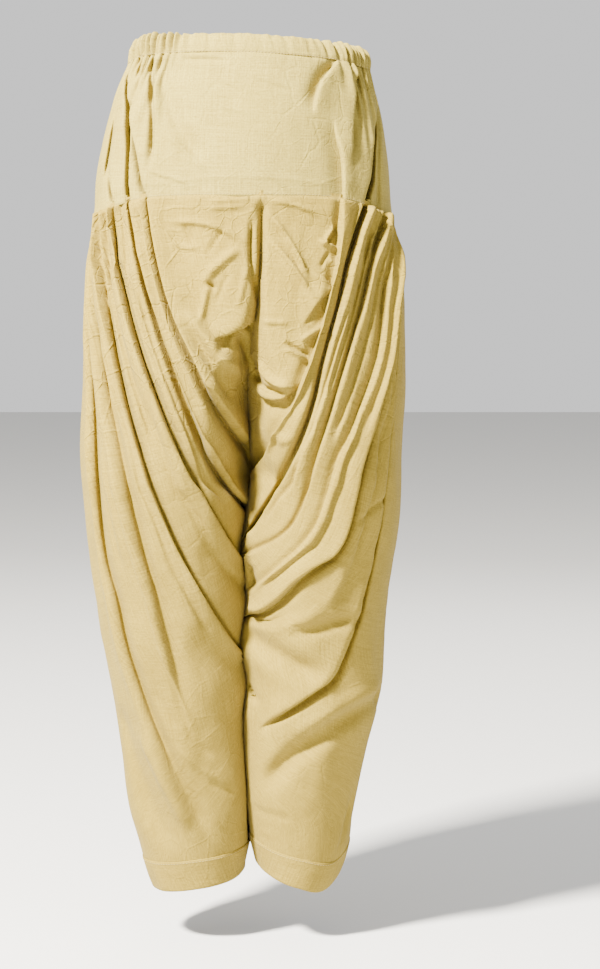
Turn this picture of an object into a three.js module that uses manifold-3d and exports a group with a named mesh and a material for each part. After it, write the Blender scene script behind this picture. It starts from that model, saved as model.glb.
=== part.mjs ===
// Patiala salwar in its worn shape: gathered waist casing, wide belt, two pleated legs and two hem bands.
// Millimetres, +Z up, -Y the wearer's back, +X the wearer's right.
// The origin is the middle of the waist opening, level with the drawstring.
import * as THREE from 'three';
import Module from 'manifold-3d';

// Cloth and seams.
const wall = 1.5;
const seamGap = 0.3;
const beltSeamGap = 0.55;

// Heights that set the cut.
const casingHeight = 22;
const beltSeamHeight = -182;
const beltSeamDrop = 25;
const partingHeight = -212;
const crotchHeight = -505;
const hemBandHeight = 36;

// Drawstring channel and its outlet in the front of the casing.
const channelDepth = 3;
const outletWidth = 9;
const outletHeight = 11;

// Colours of the cloth as it looks on each piece.
const beltColour = '#e3d4ab';
const legColour = '#d6c391';

// Outline of the worn garment, seen from the back and the side.
// z, left x, right x, back y, front y
const outline = [
  [2, -126, 126, -94, 90],
  [-21, -134, 139, -101, 95],
  [-55, -149, 149, -110, 102],
  [-90, -160, 157, -117, 108],
  [-124, -168, 162, -122, 112],
  [-160, -174, 166, -126, 115],
  [-193, -176, 168, -128, 117],
  [-228, -181, 174, -130, 120],
  [-263, -186, 181, -133, 123],
  [-333, -190, 184, -138, 127],
  [-402, -191, 185, -140, 129],
  [-473, -194, 181, -138, 127],
  [-543, -189, 179, -132, 121],
  [-614, -182, 170, -124, 113],
  [-684, -172, 162, -115, 105],
  [-755, -158, 157, -104, 95],
  [-827, -147, 139, -92, 85],
  [-898, -138, 125, -78, 75],
  [-934, -128, 120, -70, 70],
  [-970, -118, 109, -62, 66],
  [-992, -110, 98, -58, 64],
];

// Line where the two legs meet: the centre seam down to the crotch, then the line between the legs.
// z, x at the back
const meetingLine = [
  [-182, 19],
  [-235, 18],
  [-300, 14],
  [-350, 6],
  [-400, 2],
  [-450, 3],
  [-505, 4],
  [-545, 0],
  [-590, -7],
  [-640, -1],
  [-710, -6],
  [-735, 0],
  [-780, -3],
  [-830, -1],
  [-880, 2],
  [-992, 2],
];

// How far in the centre seam hangs, down to the crotch.
// z, back seam y, front seam y, width of the dip beside the seam
const centreSeam = [
  [-182, -128, 117, 12],
  [-200, -116, 112, 13],
  [-235, -110, 106, 16],
  [-290, -96, 94, 26],
  [-330, -82, 80, 34],
  [-400, -60, 59, 46],
  [-460, -31, 31, 50],
  [-490, -12, 12, 50],
  [-505, 0, 0, 50],
];

// Space from the meeting line to each leg below the crotch, and how far the legs press flat on each other.
// z, left leg, right leg, press
const legSpace = [
  [-505, 0.5, 0.5, 0],
  [-522, 0.6, 0.6, 5],
  [-560, 0.6, 0.6, 7],
  [-880, 0.6, 0.6, 7],
  [-930, 1, 2, 2],
  [-960, 6, 8, 0],
  [-992, 8, 10, 0],
];

// The cloth between the pressed legs runs in a shallow wave from back to front.
const pressWave = 4;
const pressWaveLength = 90;

// Height of the waist edge round the body.
// angle from the left side over the back, z
const waistEdge = [
  [0, -8],
  [30, 0],
  [60, 1],
  [90, 0],
  [115, -3],
  [135, -6],
  [155, -11],
  [180, -13],
  [225, -12],
  [270, -12],
  [315, -10],
  [360, -8],
];

// Height of each hem round the leg.
// angle from the outer side to the inner side, left back z, left front z, right back z, right front z
const hemEdge = [
  [0, -987, -987, -968, -968],
  [45, -986, -981, -986, -966],
  [90, -980, -974, -978, -966],
  [135, -974, -968, -966, -960],
  [180, -966, -966, -952, -952],
];

// Folds that fall from the belt seam, listed from the outer side of each leg to the centre.
// rise is the side with the raised edge: 1 towards the centre and upwards, -1 outwards.
const fallingFolds = {
  left: [
    { depth: 5, lip: 3, rise: 1, path: [[-182, -228], [-178, -332], [-169, -411], [-164, -524], [-151, -609],
      [-135, -683], [-117, -743], [-87, -816], [-53, -889], [-25, -932]] },
    { depth: 7, lip: 3, rise: 1, path: [[-172, -207], [-169, -298], [-156, -393], [-140, -460], [-126, -533],
      [-109, -595], [-93, -667], [-76, -739], [-56, -799], [-36, -842]] },
    { depth: 8, lip: 4, rise: -1, path: [[-163, -201], [-158, -281], [-147, -348], [-132, -415], [-115, -476],
      [-95, -532], [-62, -608], [-33, -659], [-16, -689]] },
    { depth: 11, lip: 4, rise: -1, path: [[-150, -190], [-145, -255], [-133, -298], [-115, -362], [-88, -431],
      [-56, -507], [-20, -575], [-10, -596]] },
    { depth: 5, lip: 2, rise: -1, path: [[-130, -189], [-119, -255], [-100, -320], [-81, -375], [-57, -437],
      [-34, -494], [-7, -527]] },
    { depth: 7, lip: 3, rise: 1, path: [[-110, -183], [-97, -253], [-79, -318], [-60, -359], [-38, -409],
      [-13, -452], [0, -469]] },
  ],
  right: [
    { depth: 9, lip: 4, rise: 1, path: [[169, -211], [176, -298], [168, -394], [161, -468], [154, -541],
      [143, -604], [131, -661], [109, -711], [102, -728], [73, -749], [39, -773], [4, -803]] },
    { depth: 8, lip: 4, rise: 1, path: [[166, -212], [173, -252], [164, -326], [154, -394], [141, -449],
      [126, -504], [115, -555], [110, -578], [96, -592], [68, -606], [39, -637], [8, -655]] },
    { depth: 4, lip: 2, rise: -1, path: [[163, -209], [156, -286], [145, -376], [118, -443], [101, -476],
      [90, -521], [75, -560], [39, -596]] },
    { depth: 7, lip: 3, rise: -1, path: [[157, -204], [142, -255], [132, -303], [118, -348], [95, -426],
      [78, -476], [65, -532], [45, -562], [5, -584]] },
    { depth: 12, lip: 5, rise: -1, path: [[138, -188], [117, -251], [108, -298], [92, -353], [73, -431],
      [43, -497], [7, -556]] },
    { depth: 4, lip: 2, rise: 1, path: [[108, -180], [103, -253], [87, -320], [68, -375], [51, -414],
      [33, -454], [13, -488]] },
  ],
};

// Swags that hang across the inner half of a leg.
const swags = {
  left: [
    { depth: 4, lip: 3, rise: 1, path: [[-120, -700], [-80, -780], [-45, -850], [-14, -880]] },
  ],
  right: [
    { depth: 5, lip: 4, rise: 1, path: [[62, -386], [45, -425], [12, -415], [6, -405]] },
    { depth: 5, lip: 3, rise: 1, path: [[130, -640], [110, -664], [73, -674], [40, -684], [8, -674]] },
    { depth: 5, lip: 3, rise: 1, path: [[172, -700], [137, -771], [113, -779], [85, -796], [45, -823],
      [14, -852]] },
  ],
};

// Folds of the belt below the casing.
const beltFolds = {
  left: [
    { depth: 3, lip: 1.5, rise: 1, path: [[-143, -60], [-157, -127], [-163, -150]] },
    { depth: 7, lip: 2, rise: 1, path: [[-132, -28], [-132, -71], [-132, -129], [-133, -185]] },
  ],
  right: [
    { depth: 6, lip: 2, rise: -1, path: [[144, -62], [148, -90], [147, -127], [144, -162], [138, -187]] },
    { depth: 4, lip: 2, rise: 1, path: [[121, -30], [127, -49], [125, -83], [123, -163]] },
  ],
};

// Shape of every fold: a steep side that climbs to the raised edge and a gentle side.
const steepWidth = 5;
const lipWidth = 20;
const troughWidth = 15;
const foldOpening = 60;
const foldEnding = 35;
const hemCalm = 60;

// Below this height the columns leave the folds and spread evenly over this distance.
const spreadHeight = -790;
const spreadReach = 120;

// The front of the garment hangs like its back, with each fold moved and weakened a little.
const frontShare = [0.9, 1.1, 0.8, 1.0, 1.2, 0.9];
const frontShift = [3, -3, 4, -2, 3, -4];

// Gathers of the waist casing.
const gathersEachHalf = 22;
const gatherDepth = 1.4;

// Rows and columns of the surfaces.
const legRowsAboveCrotch = 12;
const legRowsBelowCrotch = 14;
const legRowsAtHem = 2;
const hemRowsHeight = -900;
const legStepsBetweenFolds = [5, 4, 3, 3, 3, 3, 4];
const leastStep = 5;
const beltRows = 7;
const beltStepsBetweenFolds = [4, 3, 7];
const casingColumns = 44;
const cuffRows = 2;

const degrees = Math.PI / 180;
const clamp = THREE.MathUtils.clamp;
const lerp = THREE.MathUtils.lerp;
const sides = { left: -1, right: 1 };

// Value of a column of a table at a place along its first column.
function lookUp(table, at, column) {
  const rising = table[1][0] > table[0][0];
  let i = 1;
  while (i < table.length - 1 && (rising ? at > table[i][0] : at < table[i][0])) i += 1;
  const [from, to] = [table[i - 1], table[i]];
  const share = clamp((at - from[0]) / (to[0] - from[0]), 0, 1);
  return lerp(from[column], to[column], share);
}

function smoothShare(share) {
  const s = clamp(share, 0, 1);
  return s * s * (3 - 2 * s);
}

// The front meeting line is straighter than the back one above the crotch.
function meetingX(z, face) {
  const back = lookUp(meetingLine, z, 1);
  if (face === 'back') return back;
  return back * clamp((beltSeamHeight - z) / (beltSeamHeight - crotchHeight), 0, 1);
}

// Half ellipse centre and sizes of one leg at a height, in distances outwards from the middle of the body.
function legSection(leg, z) {
  const side = sides[leg];
  const own = lookUp(outline, z, side > 0 ? 2 : 1) * side;
  const opposite = lookUp(outline, z, side > 0 ? 1 : 2) * side;
  const space = lookUp(legSpace, z, side > 0 ? 2 : 1);
  const meeting = side * meetingX(z, 'back') + space - lookUp(legSpace, z, 3);
  const parting = clamp((partingHeight - z) / (partingHeight - crotchHeight), 0, 1) ** 1.3;
  const inner = lerp(opposite, meeting, parting);
  const back = lookUp(outline, z, 3);
  const front = lookUp(outline, z, 4);
  return {
    middle: (own + inner) / 2,
    halfWidth: (own - inner) / 2,
    centreY: (back + front) / 2,
    halfDepth: (front - back) / 2,
  };
}

// Angle from the outer side of a leg to a place across it.
function angleAcross(leg, x, z) {
  const s = legSection(leg, z);
  return Math.acos(clamp((sides[leg] * x - s.middle) / s.halfWidth, -1, 1)) / degrees;
}

// Angle at which the leg cloth stops at the centre seam; 180 below the crotch.
function endAngle(leg, z, face) {
  if (z <= crotchHeight) return 180;
  return angleAcross(leg, meetingX(z, face) + sides[leg] * seamGap / 2, z);
}

// Fold paths as angles, ready for measuring.
function anglePaths(leg, folds) {
  return folds.map((fold) => ({ ...fold, path: fold.path.map(([x, z]) => [angleAcross(leg, x, z), z]) }));
}

function frontCopies(folds) {
  return folds.map((fold, i) => ({
    ...fold,
    depth: fold.depth * frontShare[i % frontShare.length],
    path: fold.path.map(([angle, z]) => [clamp(angle + frontShift[i % frontShift.length], 2, 178), z - 6]),
  }));
}

const legFolds = {};
const legSwags = {};
const beltFoldPaths = {};
for (const leg of Object.keys(sides)) {
  const falling = anglePaths(leg, fallingFolds[leg]);
  const hanging = anglePaths(leg, swags[leg]);
  const belt = anglePaths(leg, beltFolds[leg]);
  legFolds[leg] = { back: falling, front: frontCopies(falling) };
  legSwags[leg] = { back: hanging, front: frontCopies(hanging) };
  beltFoldPaths[leg] = { back: belt, front: frontCopies(belt) };
}

// Height of the cloth over its plain form beside one fold; distances are along the cloth.
function foldRise(fold, angle, z, reach) {
  let nearest = Infinity;
  let signed = 0;
  let travelled = 0;
  let walked = 0;
  const { path } = fold;
  for (let i = 1; i < path.length; i += 1) {
    const [x0, z0] = [(path[i - 1][0] - angle) * reach, path[i - 1][1] - z];
    const [x1, z1] = [(path[i][0] - angle) * reach, path[i][1] - z];
    const [dx, dz] = [x1 - x0, z1 - z0];
    const length = Math.hypot(dx, dz) || 1;
    const share = clamp(-(x0 * dx + z0 * dz) / (length * length), 0, 1);
    const [px, pz] = [x0 + dx * share, z0 + dz * share];
    const distance = Math.hypot(px, pz);
    if (distance < nearest) {
      nearest = distance;
      signed = Math.sign(dz * px - dx * pz) || 1;
      travelled = walked + share * length;
    }
    walked += length;
  }
  const open = 0.15 + 0.85 * smoothShare(travelled / foldOpening);
  const close = smoothShare((walked - travelled) / foldEnding);
  const across = nearest * signed * fold.rise;
  const trough = Math.exp(-((across / (across > 0 ? steepWidth : troughWidth)) ** 2));
  const lip = across > 0 ? (1 - trough) * Math.exp(-((across / lipWidth) ** 2)) : 0;
  return open * close * (fold.lip * lip - fold.depth * trough);
}

// Length of cloth in one degree of a half ellipse.
function lengthOfDegree(halfWidth, halfDepth, angle) {
  return degrees * Math.hypot(halfWidth * Math.sin(angle * degrees), halfDepth * Math.cos(angle * degrees));
}

function legRise(leg, face, angle, z) {
  const s = legSection(leg, z);
  const reach = lengthOfDegree(s.halfWidth, s.halfDepth, angle);
  let rise = 0;
  for (const fold of legFolds[leg][face]) rise += foldRise(fold, angle, z, reach);
  for (const swag of legSwags[leg][face]) rise += foldRise(swag, angle, z, reach);
  return rise;
}

// A point of the plain leg form, with the dip beside the centre seam, and its outward direction.
function legPoint(leg, face, angle, z, rise) {
  const side = sides[leg];
  const turn = face === 'back' ? -1 : 1;
  const s = legSection(leg, z);
  const [c, n] = [Math.cos(angle * degrees), Math.sin(angle * degrees)];
  const out = new THREE.Vector2(c / s.halfWidth, (turn * n) / s.halfDepth).normalize();
  let across = s.middle + s.halfWidth * c;
  let y = s.centreY + turn * s.halfDepth * n;
  let calm = 1;
  if (z > crotchHeight) {
    const end = endAngle(leg, z, face) * degrees;
    const endAcross = s.middle + s.halfWidth * Math.cos(end);
    const endY = s.centreY + turn * s.halfDepth * Math.sin(end);
    const beside = clamp(1 - (across - endAcross) / lookUp(centreSeam, z, 3), 0, 1);
    y += (lookUp(centreSeam, z, face === 'back' ? 1 : 2) - endY) * beside ** 1.6;
    calm = 1 - beside ** 4;
  }
  across += out.x * rise * calm;
  y += out.y * rise * calm;
  if (z > crotchHeight) {
    across = Math.max(across, side * meetingX(z, face) + seamGap / 2);
  } else {
    const wave = pressWave * Math.sin((y / pressWaveLength) * 2 * Math.PI) * (lookUp(legSpace, z, 3) / 7);
    const limit = side * (meetingX(z, 'back') + wave) + lookUp(legSpace, z, side > 0 ? 2 : 1);
    across = Math.max(across, limit);
  }
  return new THREE.Vector3(side * across, y, z);
}

// Angles of the columns at a height: one on every fold, the rest shared between, one on each raised edge.
function foldColumns(folds, steps, end, z, reachAt) {
  const lines = [0];
  folds.forEach((fold, i) => {
    const room = (folds.length - i) * leastStep;
    lines.push(clamp(angleAt(fold.path, z), lines[i] + leastStep, end - room));
  });
  lines.push(end);
  const angles = [];
  for (let i = 0; i < lines.length - 1; i += 1) {
    const gap = lines[i + 1] - lines[i];
    const lipAngle = (steepWidth * 1.7) / reachAt((lines[i] + lines[i + 1]) / 2);
    const lipShare = Math.min(lipAngle / gap, 1 / steps[i]);
    const first = i > 0 && folds[i - 1].rise > 0 ? lipShare : 1 / steps[i];
    const last = i < folds.length && folds[i].rise < 0 ? 1 - lipShare : 1 - 1 / steps[i];
    for (let j = 0; j < steps[i]; j += 1) {
      const share = j === 0 ? 0 : lerp(first, last, steps[i] > 2 ? (j - 1) / (steps[i] - 2) : 0);
      angles.push(lines[i] + gap * share);
    }
  }
  angles.push(end);
  const spread = smoothShare((spreadHeight - z) / spreadReach);
  return angles.map((angle, i) => lerp(angle, (end * i) / (angles.length - 1), spread));
}

// Angle of a fold path at a height, held beyond its ends.
function angleAt(path, z) {
  let i = 1;
  while (i < path.length - 1 && z < path[i][1]) i += 1;
  const share = clamp((z - path[i - 1][1]) / (path[i][1] - path[i - 1][1]), 0, 1);
  return lerp(path[i - 1][0], path[i][0], share);
}

// Cloth between an outer and an inner grid of points. Rows from joinedFrom on run all the way round.
function clothSolid(outer, joinedFrom, seamAxis) {
  const rows = outer.length;
  const last = outer[0].length - 1;
  const at = (row, column) => row * (last + 1) + (row >= joinedFrom && column === last ? 0 : column);
  const faces = [];
  for (let r = 0; r < rows - 1; r += 1) {
    for (let c = 0; c < last; c += 1) {
      const [p, q, u, v] = [outer[r][c], outer[r][c + 1], outer[r + 1][c + 1], outer[r + 1][c]];
      const [a, b, d, e] = [at(r, c), at(r, c + 1), at(r + 1, c + 1), at(r + 1, c)];
      if (p.distanceTo(u) < q.distanceTo(v)) faces.push([a, b, d], [a, d, e]);
      else faces.push([a, b, e], [b, d, e]);
    }
  }
  const skin = new THREE.BufferGeometry();
  const flat = outer.flat().flatMap((point) => point.toArray());
  skin.setAttribute('position', new THREE.Float32BufferAttribute(flat, 3));
  skin.setIndex(faces.flat());
  skin.computeVertexNormals();
  const normals = skin.getAttribute('normal');
  const outward = enclosedVolume(outer, faces) > 0 ? 1 : -1;
  const inner = outer.map((line, r) => line.map((point, c) => {
    const normal = new THREE.Vector3().fromBufferAttribute(normals, at(r, c)).multiplyScalar(outward);
    let thickness = wall;
    if (r === 0 || r === rows - 1) normal.z = 0;
    if (r < joinedFrom && (c === 0 || c === last)) {
      normal[seamAxis] = 0;
      thickness /= clamp(normal.length(), 0.5, 1);
    }
    return point.clone().addScaledVector(normal.normalize(), -thickness);
  }));
  const count = rows * (last + 1);
  const triangles = faces.map((face) => [...face]);
  for (const [a, b, d] of faces) triangles.push([count + a, count + d, count + b]);
  const rim = (a, b) => triangles.push([a, count + a, b], [b, count + a, count + b]);
  for (let c = 0; c < last; c += 1) {
    rim(at(0, c), at(0, c + 1));
    rim(at(rows - 1, c + 1), at(rows - 1, c));
  }
  for (let r = 0; r < Math.min(joinedFrom, rows - 1); r += 1) {
    rim(at(r + 1, 0), at(r, 0));
    rim(at(r, last), at(r + 1, last));
  }
  return closedGeometry([...outer.flat(), ...inner.flat()], triangles);
}

// Signed volume that a grid of points roughly encloses, which tells which way its faces look.
function enclosedVolume(outer, faces) {
  const points = outer.flat();
  const middle = points.reduce((sum, point) => sum.add(point), new THREE.Vector3()).divideScalar(points.length);
  let volume = 0;
  for (const [a, b, d] of faces) {
    const [p, q, u] = [a, b, d].map((i) => points[i].clone().sub(middle));
    volume += p.dot(q.cross(u));
  }
  return volume;
}

// Geometry from points and triangles, turned so that its faces look outwards.
function closedGeometry(points, triangles) {
  let volume = 0;
  for (const [a, b, d] of triangles) volume += points[a].dot(points[b].clone().cross(points[d]));
  const turned = volume < 0 ? triangles.map(([a, b, d]) => [a, d, b]) : triangles;
  const used = [...new Set(turned.flat())].sort((a, b) => a - b);
  const place = new Map(used.map((old, i) => [old, i]));
  const geometry = new THREE.BufferGeometry();
  const flat = used.flatMap((i) => points[i].toArray());
  geometry.setAttribute('position', new THREE.Float32BufferAttribute(flat, 3));
  geometry.setIndex(turned.flat().map((i) => place.get(i)));
  geometry.computeVertexNormals();
  return geometry;
}

// Height of the belt seam, which drops towards the sides.
function beltSeam(angle) {
  return beltSeamHeight - beltSeamDrop * Math.abs(Math.cos(angle * degrees)) ** 5;
}

function hemHeight(leg, face, angle) {
  const column = 1 + (leg === 'right' ? 2 : 0) + (face === 'front' ? 1 : 0);
  return lookUp(hemEdge, angle, column);
}

// Rises of the folds, evened a little along each column so that rows follow the swags without steps.
function evened(rises) {
  let now = rises;
  for (let pass = 0; pass < 2; pass += 1) {
    now = now.map((row, r) => row.map((value, c) => {
      if (r === 0 || r === now.length - 1) return value;
      return (now[r - 1][c] + 2 * value + now[r + 1][c]) / 4;
    }));
  }
  return now;
}

// Height of a row of the leg at an angle.
function legRowHeight(leg, face, angle, row) {
  if (row <= legRowsAboveCrotch) return lerp(beltSeam(angle), crotchHeight, row / legRowsAboveCrotch);
  const below = row - legRowsAboveCrotch;
  if (below <= legRowsBelowCrotch) return lerp(crotchHeight, hemRowsHeight, below / legRowsBelowCrotch);
  const foot = hemHeight(leg, face, angle) + hemBandHeight;
  return lerp(hemRowsHeight, foot, (below - legRowsBelowCrotch) / legRowsAtHem);
}

// Faces and angles of the columns of a leg at one row, from the back seam round the outer side to the front.
function legColumns(leg, row) {
  const line = [];
  for (const face of ['back', 'front']) {
    const level = legRowHeight(leg, face, 90, row);
    const s = legSection(leg, level);
    const reachAt = (angle) => lengthOfDegree(s.halfWidth, s.halfDepth, angle);
    const end = endAngle(leg, level, face);
    const angles = foldColumns(legFolds[leg][face], legStepsBetweenFolds, end, level, reachAt);
    const ordered = face === 'back' ? angles.reverse() : angles.slice(1);
    for (const angle of ordered) line.push({ face, angle });
  }
  return line;
}

function legMesh(leg) {
  const rows = legRowsAboveCrotch + legRowsBelowCrotch + legRowsAtHem;
  const places = [];
  for (let r = 0; r <= rows; r += 1) {
    const columns = legColumns(leg, r);
    places.push(columns.map(({ face, angle }) => ({ face, angle, z: legRowHeight(leg, face, angle, r) })));
  }
  const rises = evened(places.map((line, r) => line.map(({ face, angle, z }) => {
    if (r === 0 || r === rows) return 0;
    const calm = smoothShare((z - hemHeight(leg, face, angle) - hemBandHeight) / hemCalm);
    return legRise(leg, face, angle, z) * calm;
  })));
  const outer = places.map((line, r) => line.map(({ face, angle, z }, c) => {
    const atSeam = r < legRowsAboveCrotch && (c === 0 || c === line.length - 1);
    const point = legPoint(leg, face, angle, z, rises[r][c]);
    if (atSeam) point.x = meetingX(z, face) + (sides[leg] * seamGap) / 2;
    return point;
  }));
  return clothSolid(outer, legRowsAboveCrotch, 'x');
}

function cuffMesh(leg) {
  const columns = legColumns(leg, legRowsAboveCrotch + legRowsBelowCrotch + legRowsAtHem);
  const outer = [];
  for (let r = 0; r <= cuffRows; r += 1) {
    outer.push(columns.map(({ face, angle }) => {
      const hem = hemHeight(leg, face, angle);
      return legPoint(leg, face, angle, lerp(hem + hemBandHeight - seamGap, hem, r / cuffRows), 0);
    }));
  }
  return clothSolid(outer, 0, 'x');
}

// A point of the belt or casing, from the left side round one face to the right side.
function ringPoint(face, round, z, rise) {
  const [left, right, back, front] = [1, 2, 3, 4].map((column) => lookUp(outline, z, column));
  const turn = face === 'back' ? -1 : 1;
  const [halfWidth, halfDepth] = [(right - left) / 2, (front - back) / 2];
  const [c, n] = [-Math.cos(round * degrees), turn * Math.sin(round * degrees)];
  const out = new THREE.Vector2(c / halfWidth, n / halfDepth).normalize();
  const x = (left + right) / 2 + halfWidth * c + out.x * rise;
  const y = (back + front) / 2 + halfDepth * n + out.y * rise;
  return new THREE.Vector3(x, y, z);
}

// The back and front pieces stop half a seam gap short of each other at both sides.
function atSideSeam(point, face, z) {
  const middle = (lookUp(outline, z, 3) + lookUp(outline, z, 4)) / 2;
  point.y = middle + (face === 'back' ? -seamGap : seamGap) / 2;
  return point;
}

function waistHeight(face, round) {
  return lookUp(waistEdge, face === 'back' ? round : 360 - round, 1);
}

function beltMesh(face) {
  const outer = [];
  for (let r = 0; r <= beltRows; r += 1) {
    const share = r / beltRows;
    const heightAt = (round) => {
      const top = waistHeight(face, round) - casingHeight - seamGap;
      return lerp(top, beltSeam(round) + beltSeamGap, share);
    };
    const level = heightAt(90);
    const [left, right, back, front] = [1, 2, 3, 4].map((column) => lookUp(outline, level, column));
    const reachAt = (angle) => lengthOfDegree((right - left) / 2, (front - back) / 2, angle);
    const leftAngles = foldColumns(beltFoldPaths.left[face], beltStepsBetweenFolds, 90, level, reachAt);
    const rightAngles = foldColumns(beltFoldPaths.right[face], beltStepsBetweenFolds, 90, level, reachAt);
    const rounds = [...leftAngles, ...rightAngles.slice(0, -1).reverse().map((angle) => 180 - angle)];
    const calm = smoothShare(share * 4) * smoothShare((1 - share) * 5);
    outer.push(rounds.map((round, c) => {
      const z = heightAt(round);
      const leg = round <= 90 ? 'left' : 'right';
      const angle = Math.min(round, 180 - round);
      const folds = beltFoldPaths[leg][face];
      const rise = folds.reduce((sum, fold) => sum + foldRise(fold, angle, z, reachAt(angle)), 0);
      const point = ringPoint(face, round, z, rise * calm);
      return c === 0 || c === rounds.length - 1 ? atSideSeam(point, face, z) : point;
    }));
  }
  return clothSolid(outer, Infinity, 'y');
}

// Section of the folded casing, out from the ring and up from its foot, and of the channel in it.
const casingSection = [
  [0, 0],
  [0.9, casingHeight * 0.5],
  [-0.4, casingHeight - 1.2],
  [-wall - channelDepth / 2, casingHeight],
  [-2 * wall - channelDepth, casingHeight - 2],
  [-2 * wall - channelDepth, 0],
];
const channelSection = [
  [-wall, 2],
  [-wall, casingHeight - 3],
  [-wall - channelDepth, casingHeight - 3],
  [-wall - channelDepth, 2],
];

function casingMesh(face) {
  const size = casingSection.length + channelSection.length;
  const points = [];
  const triangles = [];
  for (let c = 0; c <= casingColumns; c += 1) {
    const round = (c / casingColumns) * 180;
    const gather = -gatherDepth * Math.cos((round / 180) * gathersEachHalf * 2 * Math.PI);
    const ends = c === 0 || c === casingColumns;
    for (const [out, up] of [...casingSection, ...channelSection]) {
      const z = waistHeight(face, round) - casingHeight + up;
      const share = 0.25 + 0.75 * (up / casingHeight);
      const ring = ringPoint(face, round, z, out + gather * share);
      points.push(ends ? atSideSeam(ring, face, z) : ring);
    }
  }
  const ringFaces = (start, count, flip) => {
    for (let c = 0; c < casingColumns; c += 1) {
      for (let i = 0; i < count; i += 1) {
        const a = c * size + start + i;
        const b = c * size + start + ((i + 1) % count);
        const [d, e] = [a + size, b + size];
        if (flip) triangles.push([a, b, d], [b, e, d]);
        else triangles.push([a, d, b], [b, d, e]);
      }
    }
  };
  ringFaces(0, casingSection.length, false);
  ringFaces(casingSection.length, channelSection.length, true);
  const contour = casingSection.map(([out, up]) => new THREE.Vector2(out, up));
  const hole = channelSection.map(([out, up]) => new THREE.Vector2(out, up));
  const end = casingColumns * size;
  for (const [a, b, d] of THREE.ShapeUtils.triangulateShape(contour, [hole])) {
    triangles.push([a, b, d], [end + a, end + d, end + b]);
  }
  return closedGeometry(points, triangles);
}

// Solid with a box taken out of it.
function withoutBox(kit, geometry, size, centre) {
  const solid = new kit.Manifold(new kit.Mesh({
    numProp: 3,
    vertProperties: new Float32Array(geometry.getAttribute('position').array),
    triVerts: new Uint32Array(geometry.getIndex().array),
  }));
  const cut = solid.subtract(kit.Manifold.cube(size, true).translate(centre)).getMesh();
  const result = new THREE.BufferGeometry();
  result.setAttribute('position', new THREE.BufferAttribute(new Float32Array(cut.vertProperties), 3));
  result.setIndex(new THREE.BufferAttribute(new Uint32Array(cut.triVerts), 1));
  result.computeVertexNormals();
  return result;
}

function clothMesh(name, geometry, colour) {
  const material = new THREE.MeshStandardMaterial({ color: colour, roughness: 0.9, metalness: 0 });
  const mesh = new THREE.Mesh(geometry, material);
  mesh.name = name;
  return mesh;
}

const kit = await Module();
kit.setup();

// The outlet goes through the outer cloth of the front casing only, into the channel.
const outletHeightAt = waistHeight('front', 90) - casingHeight / 2;
const outletPlace = ringPoint('front', 90, outletHeightAt, 0);
const outletDeep = 2 * (wall + channelDepth / 2);
const frontCasing = withoutBox(
  kit,
  casingMesh('front'),
  [outletWidth, outletDeep, outletHeight],
  [outletPlace.x, outletPlace.y, outletHeightAt],
);

const salwar = new THREE.Group();
salwar.name = 'patiala_salwar';
salwar.add(
  clothMesh('casing_back', casingMesh('back'), beltColour),
  clothMesh('casing_front', frontCasing, beltColour),
  clothMesh('belt_back', beltMesh('back'), beltColour),
  clothMesh('belt_front', beltMesh('front'), beltColour),
  clothMesh('leg_left', legMesh('left'), legColour),
  clothMesh('leg_right', legMesh('right'), legColour),
  clothMesh('cuff_left', cuffMesh('left'), legColour),
  clothMesh('cuff_right', cuffMesh('right'), legColour),
);

export default salwar;
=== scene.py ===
import math

import bpy
import numpy as np
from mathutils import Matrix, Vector, noise


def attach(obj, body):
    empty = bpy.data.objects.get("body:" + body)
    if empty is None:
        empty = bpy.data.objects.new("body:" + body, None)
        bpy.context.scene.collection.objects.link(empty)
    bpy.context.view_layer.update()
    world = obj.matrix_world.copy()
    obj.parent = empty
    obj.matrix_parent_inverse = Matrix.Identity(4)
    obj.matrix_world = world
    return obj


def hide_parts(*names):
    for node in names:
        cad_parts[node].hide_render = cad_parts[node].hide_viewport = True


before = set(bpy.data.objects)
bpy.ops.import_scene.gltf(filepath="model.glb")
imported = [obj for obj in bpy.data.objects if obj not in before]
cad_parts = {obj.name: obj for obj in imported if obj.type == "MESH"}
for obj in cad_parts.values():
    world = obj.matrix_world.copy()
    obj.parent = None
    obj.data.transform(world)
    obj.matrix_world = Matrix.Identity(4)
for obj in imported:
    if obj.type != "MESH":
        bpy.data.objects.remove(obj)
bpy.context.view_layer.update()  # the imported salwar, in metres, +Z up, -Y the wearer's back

print("frame loaded")

# Camera: level with the hips, behind the wearer, looking slightly down.
cameraSettings = {
    "place": (0.062, -3.0, -0.296),
    "aim": (0.062, 0.0, -0.513),
    "lens": 95.5,
}


def linked(name, data):
    # a new object of the scene
    made = bpy.data.objects.new(name, data)
    bpy.context.collection.objects.link(made)
    return made


def aimed(thing, place, aim):
    thing.location = place
    thing.rotation_euler = (Vector(aim) - Vector(place)).to_track_quat("-Z", "Y").to_euler()


def makeCamera():
    data = bpy.data.cameras.new("photoCamera")
    data.lens, data.sensor_width = cameraSettings["lens"], 36
    camera = linked("photoCamera", data)
    aimed(camera, cameraSettings["place"], cameraSettings["aim"])
    bpy.context.scene.camera = camera


makeCamera()
print("camera placed")

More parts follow.
